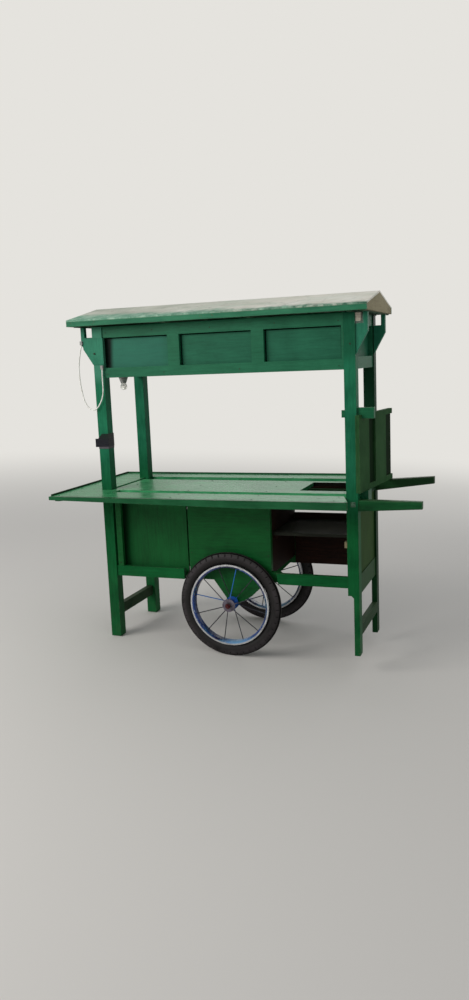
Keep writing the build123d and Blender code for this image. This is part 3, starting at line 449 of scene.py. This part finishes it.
def middle_y(node):
    """Halfway between a CAD node's front and back."""
    return sum(corner.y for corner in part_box(node)) / 2


POST_FACE_Y = middle_y("rim_front") + 0.008
AXLE_ALONG = 688.5
AXLE_UP = 262.5


def on_cart(along, back, up):
    """A place in the level cart's millimetres from the front left post's foot, where the lean puts it."""
    run = (along - AXLE_ALONG) / 1000
    rise = (up - AXLE_UP) / 1000
    return Vector((axle_middle.x + run * math.cos(LEAN) - rise * math.sin(LEAN),
                   POST_FACE_Y + back / 1000,
                   axle_middle.z + run * math.sin(LEAN) + rise * math.cos(LEAN)))


# The far wall of the deck's hole is in deep shade.
HOLE_BACK_Y = on_cart(0, 338, 0).y
repaint_part(deck_gloss, (9, 8, 4), [
    ("Y", HOLE_BACK_Y + 0.0006, HOLE_BACK_Y + 0.0002), ("Y", HOLE_BACK_Y - 0.0006, HOLE_BACK_Y - 0.0002),
    ("X", on_cart(1036, 0, 820).x, on_cart(1040, 0, 820).x)])
nosing_paint = painted_wood("nosing_paint", (10, 64, 35), (32, 96, 58), ALONG_X, 0.34, wear=0.4, chips=0.3)
under_paint = painted_wood("under_deck_paint", (9, 40, 20), (26, 66, 36), ALONG_Y, 0.6)
finish_nodes(deck_gloss, "deck_boards", "deck_left_leaf", "deck_front_ledge", "deck_rear_ledge")
finish_nodes(nosing_paint, "deck_nosing", "deck_back_lath")
finish_nodes(under_paint, "deck_arms", "deck_end_rail", "deck_end_lath")
finish_nodes(cabinet_paint, "deck_bearers")


# ---------------------------------------------------------------- canopy's fascias and brackets
# Framed and panelled fascias in blue-green, with gusset brackets under the roof's ends and one beam's bare
# sawn end. The paint has hazed where sun and rain reach it. The first panel is paler toward the left, partly
# haze and partly painted light, and its left end is painted dark as the shade of its recess.
fascia_paint = painted_wood("fascia_paint", (19, 82, 56), (40, 112, 80), ALONG_X, 0.42, wear=0.25, chips=0.2,
                            dust=0.05, road=0.0)
fascia_panel_paint = painted_wood("fascia_panel_paint", (20, 80, 58), (38, 108, 80), ALONG_X, 0.46, wear=0.2,
                                  chips=0.15, dust=0.05, road=0.0)
bracket_paint = painted_wood("bracket_paint", (20, 92, 68), (52, 130, 102), UPRIGHT, 0.44, road=0.0)
sawn_end = stained_wood("sawn_end_wood", (150, 142, 124), (206, 200, 186), ALONG_X, 0.75)
fascia_low, fascia_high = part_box("fascia_front_frame")
# The first panel's paler left part is hazed paint with painted light on it.
repaint_part(fascia_panel_paint, (54, 120, 106), [
    ("X", on_cart(440, 0, 1500).x, on_cart(360, 0, 1500).x)], 0.35)
# The first panel's left end is painted near black as the shade of its recess.
repaint_part(fascia_panel_paint, (4, 22, 17), [
    ("X", fascia_low.x + 0.058, fascia_low.x + 0.036), ("Y", fascia_high.y + 0.03, fascia_high.y + 0.02)])
finish_nodes(fascia_paint, "fascia_front_frame", "fascia_rear_frame", "fascia_end_frames")
finish_nodes(fascia_panel_paint, "fascia_panels")
finish_nodes(bracket_paint, "roof_brackets")
finish_nodes(sawn_end, "beam_end")


# ---------------------------------------------------------------- roof
# Thin boards on rafters, with gable and eave boards. The weather has bleached the sheets' paint to grey and
# beige, with a ragged strip of green left along each eave. Their paleness toward the right is painted light.
ROOF_MIDDLE_Y = middle_y("gable_boards")
ROOF_HALF_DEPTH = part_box("roof_sheet_rear")[1].y - ROOF_MIDDLE_Y
roof_weathered, tree, shader, coordinates = new_material("roof_weathered")
marks = use_group(tree, brush_marks, {"Vector": coordinates, "Stretch": (2.0, 7.0, 7.0)})
rubbed = use_group(tree, edge_wear, {"Vector": coordinates, "Radius": 0.003, "Amount": 0.5})
parts = parts_of(tree, coordinates)
# Toward the right the sheets are painted paler: painted light on the weathered paint.
toward_right = spread(tree, parts["X"], -0.6, 0.35)
bleached_left = blend(tree, marks["Blotches"], (150, 160, 144), (196, 198, 184))
bleached_and_lit_right = blend(tree, marks["Blotches"], (222, 219, 204), (247, 244, 235))
bleached_and_lit = blend(tree, toward_right, bleached_left, bleached_and_lit_right)
sage_patches = spread(tree, noise(tree, coordinates, 3.2, 5.0, 0.6, 0.8), 0.48, 0.62)
sage_share = spread(tree, toward_right, 0.0, 1.0, 0.55, 0.2)
patched = blend(tree, product_of(tree, sage_patches, sage_share), bleached_and_lit, (150, 184, 160))
stains = spread(tree, noise(tree, coordinates, 17.0, 5.0, 0.7, 1.0), 0.56, 0.74)
stained = blend(tree, product_of(tree, stains, 0.55), patched, (92, 88, 74))
streaked = blend(tree, product_of(tree, marks["Streaks"], 0.22), stained, (204, 200, 188))

# The strip of green: how far each point lies from the eave, less a ragged edge, wider to the left.
across = difference_of(tree, parts["Y"], ROOF_MIDDLE_Y)
from_ridge = add_node(tree, "Math", {0: across}, operation="ABSOLUTE").outputs[0]
left_reach = spread(tree, parts["X"], -0.75, 0.0, 0.085, 0.0)
ragged = spread(tree, noise(tree, coordinates, 11.0, 6.0, 0.68, 0.4), 0.3, 0.7, -0.03, 0.06)
smooth_edge = difference_of(tree, ROOF_HALF_DEPTH, sum_of(tree, from_ridge, left_reach))
green_kept = spread(tree, difference_of(tree, smooth_edge, ragged), 0.045, -0.02)
strip_green = blend(tree, toward_right, (88, 142, 116), (34, 90, 66))
strip_worn = blend(tree, toward_right, (156, 190, 168), (126, 170, 144))
worn_through = spread(tree, noise(tree, coordinates, 24.0, 5.0, 0.7, 0.6), 0.4, 0.66)
worn_green = blend(tree, worn_through, strip_green, strip_worn)
fill_sockets(tree, shader, {
    "Base Color": blend(tree, green_kept, streaked, worn_green), "Roughness": 0.72,
    "Normal": bumped(tree, marks["Height"], 0.6, 0.0018, rubbed["Normal"])})
finish_nodes(roof_weathered, "roof_sheet_front", "roof_sheet_rear")

gable_paint = painted_wood("gable_paint", (116, 108, 80), (164, 156, 126), ALONG_Y, 0.66, wear=0.3, chips=0.4,
                           dust=0.2, road=0.0)
eave_paint = painted_wood("eave_paint", (26, 92, 66), (58, 128, 94), ALONG_X, 0.46, wear=0.62, chips=0.55,
                          dust=0.3, road=0.0)
rafter_wood = painted_wood("rafter_paint", (34, 70, 50), (76, 100, 76), ALONG_Y, 0.6, road=0.0)
finish_nodes(gable_paint, "gable_boards")
finish_nodes(eave_paint, "eave_boards")
finish_nodes(rafter_wood, "rafters")


# ---------------------------------------------------------------- handles and skewed screen
# Two tapered handles, rubbed by hands at their ends, and a frame-and-board screen with its stub and bar,
# all nailed outside the right posts.
handle_paint = painted_wood("handle_paint", (6, 56, 26), (20, 90, 46), ALONG_X, 0.36, wear=0.6, chips=0.4,
                            dust=0.25, edge=0.004)
# The rear handle stands behind the front one; its darker green is painted shade on the same paint.
rear_handle_shade = painted_wood("rear_handle_shade_paint", (9, 38, 15), (24, 64, 30), ALONG_X, 0.4, wear=0.55,
                           chips=0.35, dust=0.25, edge=0.004)
# The screen faces right, where less light falls; its dull olive green is painted shade.
screen_shade_paint = painted_wood("screen_shade_paint", (25, 60, 31), (54, 92, 55), UPRIGHT, 0.55, wear=0.4, chips=0.35,
                            gloss=0.03)
# The screen's recessed fields are painted near black as the deep shade inside them.
field_shade_paint = painted_wood("screen_field_shade_paint", (5, 24, 8), (18, 44, 20), UPRIGHT, 0.55, dust=0.05, road=0.0,
                           gloss=0.02)
bar_paint = painted_wood("bar_paint", (12, 74, 46), (32, 106, 70), ALONG_X, 0.32, wear=0.5, chips=0.3)
finish_nodes(handle_paint, "handle_front")
finish_nodes(rear_handle_shade, "handle_rear")
finish_nodes(screen_shade_paint, "screen_frame")
finish_nodes(field_shade_paint, "screen_fields")
finish_nodes(bar_paint, "screen_bar", "screen_stub")


# ---------------------------------------------------------------- rims, hubs and axle
# Steel rims plated bright at the lip and enamelled blue on the inner band, with blue hubs, dull spokes and
# a greasy dark axle.
def from_axle(tree, coordinates):
    """Where a point lies from the axle's line: the flat vector to it, and its distance in metres."""
    parts = parts_of(tree, coordinates)
    flat = add_node(tree, "CombineXYZ", {
        "X": difference_of(tree, parts["X"], axle_middle.x),
        "Z": difference_of(tree, parts["Z"], axle_middle.z)}).outputs[0]
    return flat, add_node(tree, "VectorMath", {0: flat}, operation="LENGTH").outputs["Value"]


PLATED_FROM, PLATED_WHOLE = 0.1988, 0.1996
rim_finish, tree, shader, coordinates = new_material("rim_finish")
flat, radius = from_axle(tree, coordinates)
plated = spread(tree, radius, PLATED_FROM, PLATED_WHOLE)
patches = spread(tree, noise(tree, coordinates, 6.0, 3.0, 0.6, 0.6), 0.42, 0.58)
teal_patches = spread(tree, noise(tree, coordinates, 11.0, 3.0, 0.6, 0.3), 0.5, 0.62)
enamel = blend(tree, patches, (14, 18, 54), (30, 62, 124))
enamel = blend(tree, teal_patches, enamel, (24, 82, 104))
offset = parts_of(tree, flat)
slope = difference_of(tree, offset["Z"], product_of(tree, offset["X"], 0.25))
rubbed_through = spread(tree, slope, -0.172, -0.205, 0.0, 0.8)
enamel = blend(tree, rubbed_through, enamel, (120, 168, 210))
scuffs = spread(tree, noise(tree, coordinates, 60.0, 5.0, 0.7, 0.4), 0.58, 0.68)
scuffed = blend(tree, scuffs, enamel, (140, 156, 172))
tarnish = spread(tree, noise(tree, coordinates, 26.0, 5.0, 0.7), 0.46, 0.72)
bright = blend(tree, tarnish, (214, 216, 220), (128, 124, 122))
fill_sockets(tree, shader, {
    "Base Color": blend(tree, plated, scuffed, bright),
    "Metallic": product_of(tree, plated, 0.85),
    "Roughness": spread(tree, tarnish, 0.0, 1.0, 0.24, 0.5)})
finish_nodes(rim_finish, "rim_front", "rim_rear")

BLUE_SPOKES = (78, 168)
HUB_EDGE, HUB_BODY = 0.05, 0.034


def hub_material(name, rim):
    """Grey outer flange, blue barrel and inner flange, and spokes of which two were once painted blue."""
    material, tree, shader, coordinates = new_material(name)
    flat, radius = from_axle(tree, coordinates)
    rim_y = middle_y(rim)
    inner_side = spread(tree, parts_of(tree, coordinates)["Y"], rim_y - 0.014, rim_y - 0.010)
    on_hub = spread(tree, radius, HUB_EDGE, HUB_BODY)
    grime = spread(tree, noise(tree, coordinates, 48.0, 5.0, 0.7, 0.4), 0.42, 0.68)
    flange = blend(tree, grime, (104, 98, 110), (44, 38, 42))
    hub_blue = blend(tree, grime, (28, 84, 164), (30, 40, 66))
    steel = blend(tree, grime, (58, 60, 68), (24, 22, 23))
    pointing = add_node(tree, "VectorMath", {0: flat}, operation="NORMALIZE").outputs["Vector"]
    painted = 0.0
    for turn in BLUE_SPOKES:
        toward = (math.cos(math.radians(turn)), 0, math.sin(math.radians(turn)))
        along = add_node(
            tree, "VectorMath", {0: pointing, 1: toward}, operation="DOT_PRODUCT").outputs["Value"]
        painted = larger_of(tree, painted, spread(tree, along, 0.975, 0.98))
    spoke = blend(tree, painted, steel, (38, 104, 176))
    barrel = blend(tree, inner_side, flange, hub_blue)
    fill_sockets(tree, shader, {
        "Base Color": blend(tree, on_hub, spoke, barrel), "Metallic": 0.25, "Specular IOR Level": 0.3,
        "Roughness": spread(tree, grime, 0.0, 1.0, 0.36, 0.6)})
    return material


for side in ("front", "rear"):
    finish_nodes(hub_material("hub_finish_" + side, "rim_" + side), "hub_" + side)

# The axle's near tip has a dull red cap.
greasy_steel, tree, shader, coordinates = new_material("greasy_steel")
grime = spread(tree, noise(tree, coordinates, 70.0, 5.0, 0.7, 0.3), 0.4, 0.65)
steel = blend(tree, grime, (80, 74, 70), (46, 28, 22))
cap_red = blend(tree, grime, (88, 24, 30), (44, 18, 18))
axle_tip_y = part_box("axle")[0].y
near_tip = spread(tree, parts_of(tree, coordinates)["Y"], axle_tip_y + 0.016, axle_tip_y + 0.014)
fill_sockets(tree, shader, {
    "Base Color": blend(tree, near_tip, steel, cap_red),
    "Metallic": spread(tree, grime, 0.0, 1.0, 0.7, 0.2),
    "Roughness": spread(tree, grime, 0.0, 1.0, 0.4, 0.72)})
finish_nodes(greasy_steel, "axle")


# ---------------------------------------------------------------- tyres
# Pneumatic tyres in matt black rubber: a rounded section with two grooves round the tread and short slanted
# sipes over the shoulders, dusty low on the sides. The rubber is painted darker next to the rim as shade, and
# the pale ring over the shoulders is dust and a painted sheen.
tyre_rubber, tree, shader, coordinates = new_material("tyre_rubber")
flat, radius = from_axle(tree, coordinates)
wall_rings = add_node(tree, "Math", {0: product_of(tree, radius, 900.0)}, operation="SINE").outputs[0]
grit = noise(tree, coordinates, 190.0, 4.0, 0.7)
road_dust = spread(tree, noise(tree, coordinates, 9.0, 5.0, 0.65, 0.5), 0.36, 0.7)
# The rubber next to the rim is painted near black as shade.
rim_shade = spread(tree, radius, 0.228, 0.212)
# The paler ring on the shoulders is dust and a painted sheen.
on_shoulder = product_of(tree, spread(tree, radius, 0.232, 0.244), spread(tree, radius, 0.262, 0.252))
shoulder_dust_and_sheen = product_of(tree, on_shoulder, spread(tree, road_dust, 0.0, 1.0, 0.05, 0.55))
rubber = blend(tree, road_dust, (15, 14, 14), (34, 31, 31))
rubber = blend(tree, rim_shade, rubber, (9, 8, 9))
rubber = blend(tree, shoulder_dust_and_sheen, rubber, (66, 60, 64))
skin = sum_of(tree, product_of(tree, wall_rings, 0.25), grit)
fill_sockets(tree, shader, {
    "Base Color": blend(tree, spread(tree, grit, 0.6, 0.8, 0.0, 0.3), rubber, (76, 71, 67)),
    "Roughness": spread(tree, road_dust, 0.0, 1.0, 0.48, 0.74), "Specular IOR Level": 0.25,
    "Normal": bumped(tree, skin, 0.3, 0.0008)})


def mottled(name, first, second, grain, reach, sockets):
    """A finish of two colours; grain is the noise's scale, detail and roughness, reach is what it spreads."""
    material, tree, shader, coordinates = new_material(name)
    share = spread(tree, noise(tree, coordinates, *grain), *reach)
    fill_sockets(tree, shader, {"Base Color": blend(tree, share, first, second), **sockets})
    return material


groove_rubber = mottled("tyre_groove_rubber", (5, 5, 6), (38, 33, 28), (60.0, 4.0, 0.7), (0.5, 0.8, 0.0, 0.4),
                        {"Roughness": 0.9, "Specular IOR Level": 0.05})

RIM_SEAT = 0.2055
FOOT_REACH = 0.214
FOOT_WIDTH = 0.62
SECTION_POINTS = 28
SPIN_STEPS = 180
STEPS_PER_SIPE = 4
GROOVE_DEPTH = 0.0022
GROOVE_MARGIN = 0.0011
SIPE_MARGIN = 0.0033


def edit_all():
    """Go into edit mode with the whole mesh selected."""
    bpy.ops.object.mode_set(mode="EDIT")
    bpy.ops.mesh.select_all(action="SELECT")


def select_faces(mesh, wanted):
    """Select just the faces for which wanted(face) is true; called in object mode."""
    for vertex in mesh.vertices:
        vertex.select = False
    for edge in mesh.edges:
        edge.select = False
    for face in mesh.polygons:
        face.select = wanted(face)


def make_tyre(name, node, body):
    """A round section flattened at the rim, spun about the axle, then cut with grooves and sipes."""
    low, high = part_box(node)
    tread_y = (low.y + high.y) / 2
    outer = (high.x - low.x) / 2
    half_width = (high.y - low.y) / 2
    section_radius = (outer - RIM_SEAT) / 2
    centre = (axle_middle.x, tread_y, axle_middle.z + RIM_SEAT + section_radius)
    bpy.ops.object.select_all(action="DESELECT")
    bpy.ops.mesh.primitive_circle_add(vertices=SECTION_POINTS, radius=section_radius, location=centre,
                                      rotation=(0, math.pi / 2, 0))
    tyre = bpy.context.object
    tyre.name = name
    tyre.data.materials.append(tyre_rubber)
    tyre.data.materials.append(groove_rubber)
    bpy.ops.object.transform_apply(location=True, rotation=True, scale=True)
    edit_all()
    bpy.ops.transform.resize(value=(1, half_width * 0.995 / section_radius, 1), center_override=centre)
    bpy.ops.object.mode_set(mode="OBJECT")
    foot = axle_middle.z + FOOT_REACH
    for vertex in tyre.data.vertices:
        vertex.select = vertex.co.z < foot
    bpy.ops.object.mode_set(mode="EDIT")
    bpy.ops.mesh.select_mode(type="VERT")
    bpy.ops.transform.resize(value=(1, FOOT_WIDTH, 1), center_override=centre)
    bpy.ops.mesh.select_all(action="SELECT")
    bpy.ops.mesh.spin(steps=SPIN_STEPS, angle=2 * math.pi, center=tuple(axle_middle), axis=(0, 1, 0))
    bpy.ops.mesh.select_all(action="SELECT")
    bpy.ops.mesh.remove_doubles(threshold=0.00002)
    bpy.ops.mesh.normals_make_consistent(inside=False)
    bpy.ops.mesh.select_mode(type="FACE")
    bpy.ops.object.mode_set(mode="OBJECT")

    def radius_of(face):
        return math.hypot(face.center.x - axle_middle.x, face.center.z - axle_middle.z)

    def step_of(face):
        turn = math.atan2(face.center.z - axle_middle.z, face.center.x - axle_middle.x)
        return int((turn + 2 * math.pi) / (2 * math.pi) * SPIN_STEPS) % SPIN_STEPS

    def in_groove(face):
        side = abs(face.center.y - tread_y)
        return radius_of(face) > outer - 0.008 and 0.0055 < side < 0.0105

    def in_sipe(face):
        side = abs(face.center.y - tread_y)
        on_shoulder = 0.0125 < side and outer - 0.025 < radius_of(face) and face.area > 0.00003
        stagger = 0 if face.center.y < tread_y else STEPS_PER_SIPE // 2
        return on_shoulder and (step_of(face) + stagger) % STEPS_PER_SIPE == 0

    tyre.active_material_index = 1
    for wanted, margin in ((in_groove, GROOVE_MARGIN), (in_sipe, SIPE_MARGIN)):
        select_faces(tyre.data, wanted)
        bpy.ops.object.mode_set(mode="EDIT")
        bpy.ops.mesh.inset(thickness=margin, depth=-GROOVE_DEPTH)
        bpy.ops.object.material_slot_assign()
        bpy.ops.object.mode_set(mode="OBJECT")
    bpy.ops.object.shade_smooth_by_angle(angle=math.radians(32))
    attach(tyre, body)
    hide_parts(node)


make_tyre("tyre_with_tread_front", "tyre_front", "wheel_front")
make_tyre("tyre_with_tread_rear", "tyre_rear", "wheel_rear")


# ---------------------------------------------------------------- lamp, clips and hanging cable
# A clear bulb in a grey cone-shaped holder under the left fascia, with small grey clips. Its cable is a thin
# white flex that leaves a clip on the front left post, hangs in one long loop beside the post, and goes back
# up to a clip under the roof bracket.
def plain_finish(name, colour, sockets):
    """A finish of one colour."""
    material, tree, shader, coordinates = new_material(name)
    fill_sockets(tree, shader, {"Base Color": display_colour(*colour), **sockets})
    return material


glass = plain_finish("bulb_glass", (236, 236, 230), {
    "Roughness": 0.05, "Transmission Weight": 0.75, "IOR": 1.25})
finish_nodes(glass, "bulb")

dull_plastic, tree, shader, coordinates = new_material("dull_grey_plastic")
smears = spread(tree, noise(tree, coordinates, 38.0, 4.0, 0.65, 0.4), 0.35, 0.7)
fill_sockets(tree, shader, {
    "Base Color": blend(tree, smears, (112, 114, 114), (150, 150, 146)),
    "Roughness": spread(tree, smears, 0.0, 1.0, 0.45, 0.62)})
finish_nodes(dull_plastic, "lamp_holder", "cable_clips")

CABLE_ROUTE = [
    (49, -5, 1450), (48.5, -9, 1408), (52, -13, 1310), (10, -13, 1244), (-22, -13, 1240), (-58, -12, 1276),
    (-75, -10, 1345), (-83, -9, 1420), (-79, -8, 1500), (-60, -4, 1575),
]
cable_curve = bpy.data.curves.new("lamp_cable", "CURVE")
cable_curve.dimensions = "3D"
cable_line = cable_curve.splines.new("NURBS")
cable_line.points.add(len(CABLE_ROUTE) - 1)
for point, place in zip(cable_line.points, CABLE_ROUTE):
    point.co = (*on_cart(*place), 1)
    point.radius = 0.003
cable_line.order_u = 3
cable_line.use_endpoint_u = True
cable_line.resolution_u = 16
cable_curve.bevel_depth = 1.0
cable_curve.bevel_resolution = 4
cable_curve.use_fill_caps = True
cable = bpy.data.objects.new("lamp_cable", cable_curve)
bpy.context.scene.collection.objects.link(cable)
cable_sheath = mottled("white_cable_sheath", (232, 231, 226), (196, 193, 182), (60.0, 3.0, 0.6), (0.4, 0.7),
                       {"Roughness": 0.38})
cable.data.materials.append(cable_sheath)
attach(cable, "cart")
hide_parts("cable_loop")


# ---------------------------------------------------------------- wound tape and the strip under it
# Black tape wound round the front left post, over a grey strip that shows below it. The tape's top edge is
# cut on a slant, with a green film on its upper turns, and its free end sticks out to the left.
TAPE_PITCH = 0.013
TAPE_SLANT = 0.12
TAPE_MIDDLE_Z = on_cart(28, 0, 1085).z
black_tape, tree, shader, coordinates = new_material("wound_black_tape")
parts = parts_of(tree, coordinates)
slanted = sum_of(tree, parts["Z"], product_of(tree, parts["X"], TAPE_SLANT))
turns = add_node(tree, "Math", {0: product_of(tree, slanted, 1 / TAPE_PITCH)}, operation="FRACT").outputs[0]
lap = spread(tree, turns, 0.0, 0.12)
green_film = spread(tree, parts["Z"], TAPE_MIDDLE_Z, TAPE_MIDDLE_Z + 0.02)
film = blend(tree, green_film, (14, 16, 26), (3, 24, 17))
creases = sum_of(tree, lap, noise(tree, coordinates, 90.0, 3.0, 0.6))
fill_sockets(tree, shader, {
    "Base Color": blend(tree, lap, (6, 7, 10), film), "Roughness": 0.4, "Specular IOR Level": 0.2,
    "Normal": bumped(tree, creases, 0.7, 0.0012)})


def level_block(name, along, back, up, finish, bevel=0.0):
    """A block on the cart, with its edges in the level cart's millimetres."""
    middle = on_cart(sum(along) / 2, sum(back) / 2, sum(up) / 2)
    bpy.ops.object.select_all(action="DESELECT")
    bpy.ops.mesh.primitive_cube_add(size=1, location=middle, rotation=(0, -LEAN, 0))
    block = bpy.context.object
    block.name = name
    block.dimensions = ((along[1] - along[0]) / 1000, (back[1] - back[0]) / 1000, (up[1] - up[0]) / 1000)
    bpy.ops.object.transform_apply(location=True, rotation=True, scale=True)
    if bevel:
        edit_all()
        bpy.ops.mesh.bevel(offset=bevel, segments=2)
        bpy.ops.object.mode_set(mode="OBJECT")
    block.data.materials.append(finish)
    return block


def joined(name, pieces, body="cart"):
    """Several small pieces as one, riding on a body."""
    bpy.ops.object.select_all(action="DESELECT")
    for piece in pieces:
        piece.select_set(True)
    bpy.context.view_layer.objects.active = pieces[0]
    if len(pieces) > 1:
        bpy.ops.object.join()
    whole = bpy.context.object
    whole.name = name
    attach(whole, body)


TAPE_ROUND = (-2.2, 57.2)
TAPE_UP = (1054, 1120)
TAPE_DROP = 0.026
tape_wrap = level_block("tape_wrap", TAPE_ROUND, TAPE_ROUND, TAPE_UP, black_tape)
edit_all()
bpy.ops.mesh.bisect(plane_co=on_cart(20, 0, 1090), plane_no=(math.cos(LEAN), 0, math.sin(LEAN)))
bpy.ops.object.mode_set(mode="OBJECT")
top_left = on_cart(TAPE_ROUND[0], 0, TAPE_UP[1])
for vertex in tape_wrap.data.vertices:
    if (vertex.co - top_left).xz.length < 0.005:
        vertex.co.z -= TAPE_DROP
tape_flap = level_block("tape_flap", (-19, 0), (-1.6, -0.4), (1052, 1095), black_tape)
joined("wound_tape", [tape_wrap, tape_flap])
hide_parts("post_band")

STRIP_ROUND = (-1.2, 56.2)
strip_grey = plain_finish("grey_strip", (74, 70, 76), {"Roughness": 0.5, "Specular IOR Level": 0.2})
under_strip = level_block("under_strip", STRIP_ROUND, STRIP_ROUND, (1043, 1053.6), strip_grey, 0.0005)
joined("strip_under_tape", [under_strip])


# ---------------------------------------------------------------- nails and bolts
# Round steel nail heads, painted over and gone rusty: on the deck over its cross arms, and on the front of
# the canopy's frame, the left stile and the axle board. A bolt head stands by each front bracket.
rusted_nail = mottled("painted_over_nail", (14, 54, 34), (52, 36, 24), (140.0, 4.0, 0.7), (0.4, 0.62),
                      {"Roughness": 0.6, "Specular IOR Level": 0.2})


def nail_head(along, back, up, facing, radius=3.2, height=1.0, sides=12):
    """A nail or bolt head on a face that looks up or to the front; the place is on that face."""
    outward = {"up": (0, 0, 1), "front": (0, -1, 0)}[facing]
    turned = {"up": (0, -LEAN, 0), "front": (math.pi / 2, 0, 0)}[facing]
    middle = on_cart(*(spot + push * (height / 2 + 0.05) for spot, push in zip((along, back, up), outward)))
    bpy.ops.object.select_all(action="DESELECT")
    bpy.ops.mesh.primitive_cylinder_add(vertices=sides, radius=radius / 1000, depth=height / 1000,
                                        location=middle, rotation=turned)
    head = bpy.context.object
    bpy.ops.object.transform_apply(location=True, rotation=True, scale=True)
    head.data.materials.append(rusted_nail)
    return head


DECK_TOP = 830
LEAF_ARM = -137
ARM_CENTRES = (LEAF_ARM, 108, 475, 886, 1272)
DECK_NAIL_ROWS = ((-195, -137), (-90, -137), (25, 108), (190, 108), (350, 108), (490, 108), (600, 108))
deck_nails = [nail_head(centre, row, DECK_TOP, "up") for row, first in DECK_NAIL_ROWS
              for centre in ARM_CENTRES if centre >= first]
deck_nails += [nail_head(LEAF_ARM, row, DECK_TOP, "up") for row in (30, 170, 310, 450, 590)]
joined("deck_nails", deck_nails)

FRONT_NAILS = (
    (73, 6, 1625), (331, 6, 1627), (636, 6, 1624), (960, 6, 1626), (1262, 6, 1622),
    (75, 6, 1420), (385, 6, 1420), (780, 6, 1422), (1262, 6, 1420),
    (79, 6, 770), (79, 6, 600), (79, 6, 445),
)
front_nails = [nail_head(*place, "front", 2.6) for place in FRONT_NAILS]
front_nails += [nail_head(1316, 0, 1516, "front", 4.5, 1.5), nail_head(10, -3, 1524, "front", 5.5, 3.0, 6)]
joined("front_nails", front_nails)

board_nails = [nail_head(along, 28, up, "front", 2.4) for along in (476, 885) for up in (770, 640, 510)]
joined("axle_board_nails", board_nails)


# ---------------------------------------------------------------- left bracket's face
# The left gusset bracket is a painted board that laps over the post's front, with its lower corner sawn off
# along the slope.
GUSSET_UP = (1468.5, 1600)
joined("left_gusset_face", [
    level_block("gusset_side", (-52, -0.5), (-3, 5.9), GUSSET_UP, bracket_paint),
    level_block("gusset_lap", (-0.5, 60), (-3, -0.05), GUSSET_UP, bracket_paint)])
edit_all()
bpy.ops.mesh.bisect(plane_co=on_cart(0, 0, 1468.3), plane_no=on_cart(-102, 0, -67) - on_cart(0, 0, 0),
                    use_fill=True, clear_outer=True)
bpy.ops.object.mode_set(mode="OBJECT")


# ---------------------------------------------------------------- screwed plate
# A small thin plate on the front right post just under the deck, held by four screws and painted over with
# the post.
plate_finish = mottled("painted_plate", (34, 76, 54), (92, 130, 104), (80.0, 4.0, 0.7), (0.4, 0.62),
                       {"Roughness": 0.45})
plate = level_block("post_plate", (1306, 1328), (-1.6, -0.05), (768, 792), plate_finish, 0.0004)
plate_screws = [nail_head(along, -1.6, up, "front", 1.9, 0.8) for along in (1310.5, 1323.5)
                for up in (772.5, 787.5)]
joined("screwed_plate", [plate] + plate_screws)


# ---------------------------------------------------------------- cleat and lath
# A short cleat of bare wood on the right post's inner side, in the open bay beside the shelf, and a dark
# lath under the deck that closes the gap behind its hole, put there as painted shade so no light shows
# through.
pale_wood = stained_wood("cleat_wood", (112, 100, 74), (160, 148, 118), UPRIGHT, 0.7)
cleat = level_block("bay_cleat", (1269, 1284.8), (16, 40), (567, 597), pale_wood, 0.0008)
joined("bay_cleat", [cleat])
# The lath is dark so that the gap behind the hole stays in shade: painted shade.
rear_shade_lath = level_block("rear_gap_shade_lath", (904, 1254), (462, 480), (784.2, 809.8), shaded_inner_wood, 0.0006)
joined("rear_gap_shade_lath", [rear_shade_lath])


# ---------------------------------------------------------------- painted shade round the canopy's panels
# Thin near-black strips lie on the front panels along the top and the left of each opening, and at the right
# of the last one: painted shade where the frames shadow the recessed panels.
PANEL_OPENINGS = ((55, 411), (473, 843), (905, 1274))
OPENING_UP = (1451, 1600)
TOP_SHADE_UP = (OPENING_UP[1] - 5, OPENING_UP[1] - 0.2)
SHADE_STRIP_BACK = (26.6, 27.9)
# The strips' near-black green is painted shade.
joint_shade = plain_finish("joint_shade", (3, 20, 14), {"Roughness": 0.9, "Specular IOR Level": 0.05})
shade_strips = []
for left, right in PANEL_OPENINGS:
    shade_strips.append(level_block("top_shade_strip", (left, right), SHADE_STRIP_BACK, TOP_SHADE_UP, joint_shade))
    shade_strips.append(level_block("left_shade_strip", (left + 0.2, left + 6), SHADE_STRIP_BACK, OPENING_UP, joint_shade))
shade_strips.append(level_block("right_shade_strip", (1268, 1273.8), SHADE_STRIP_BACK, OPENING_UP, joint_shade))
joined("panel_shade_strips", shade_strips)


# ---------------------------------------------------------------- view layer update
# The view layer is brought up to date once the dressed cart is complete.
bpy.context.view_layer.update()
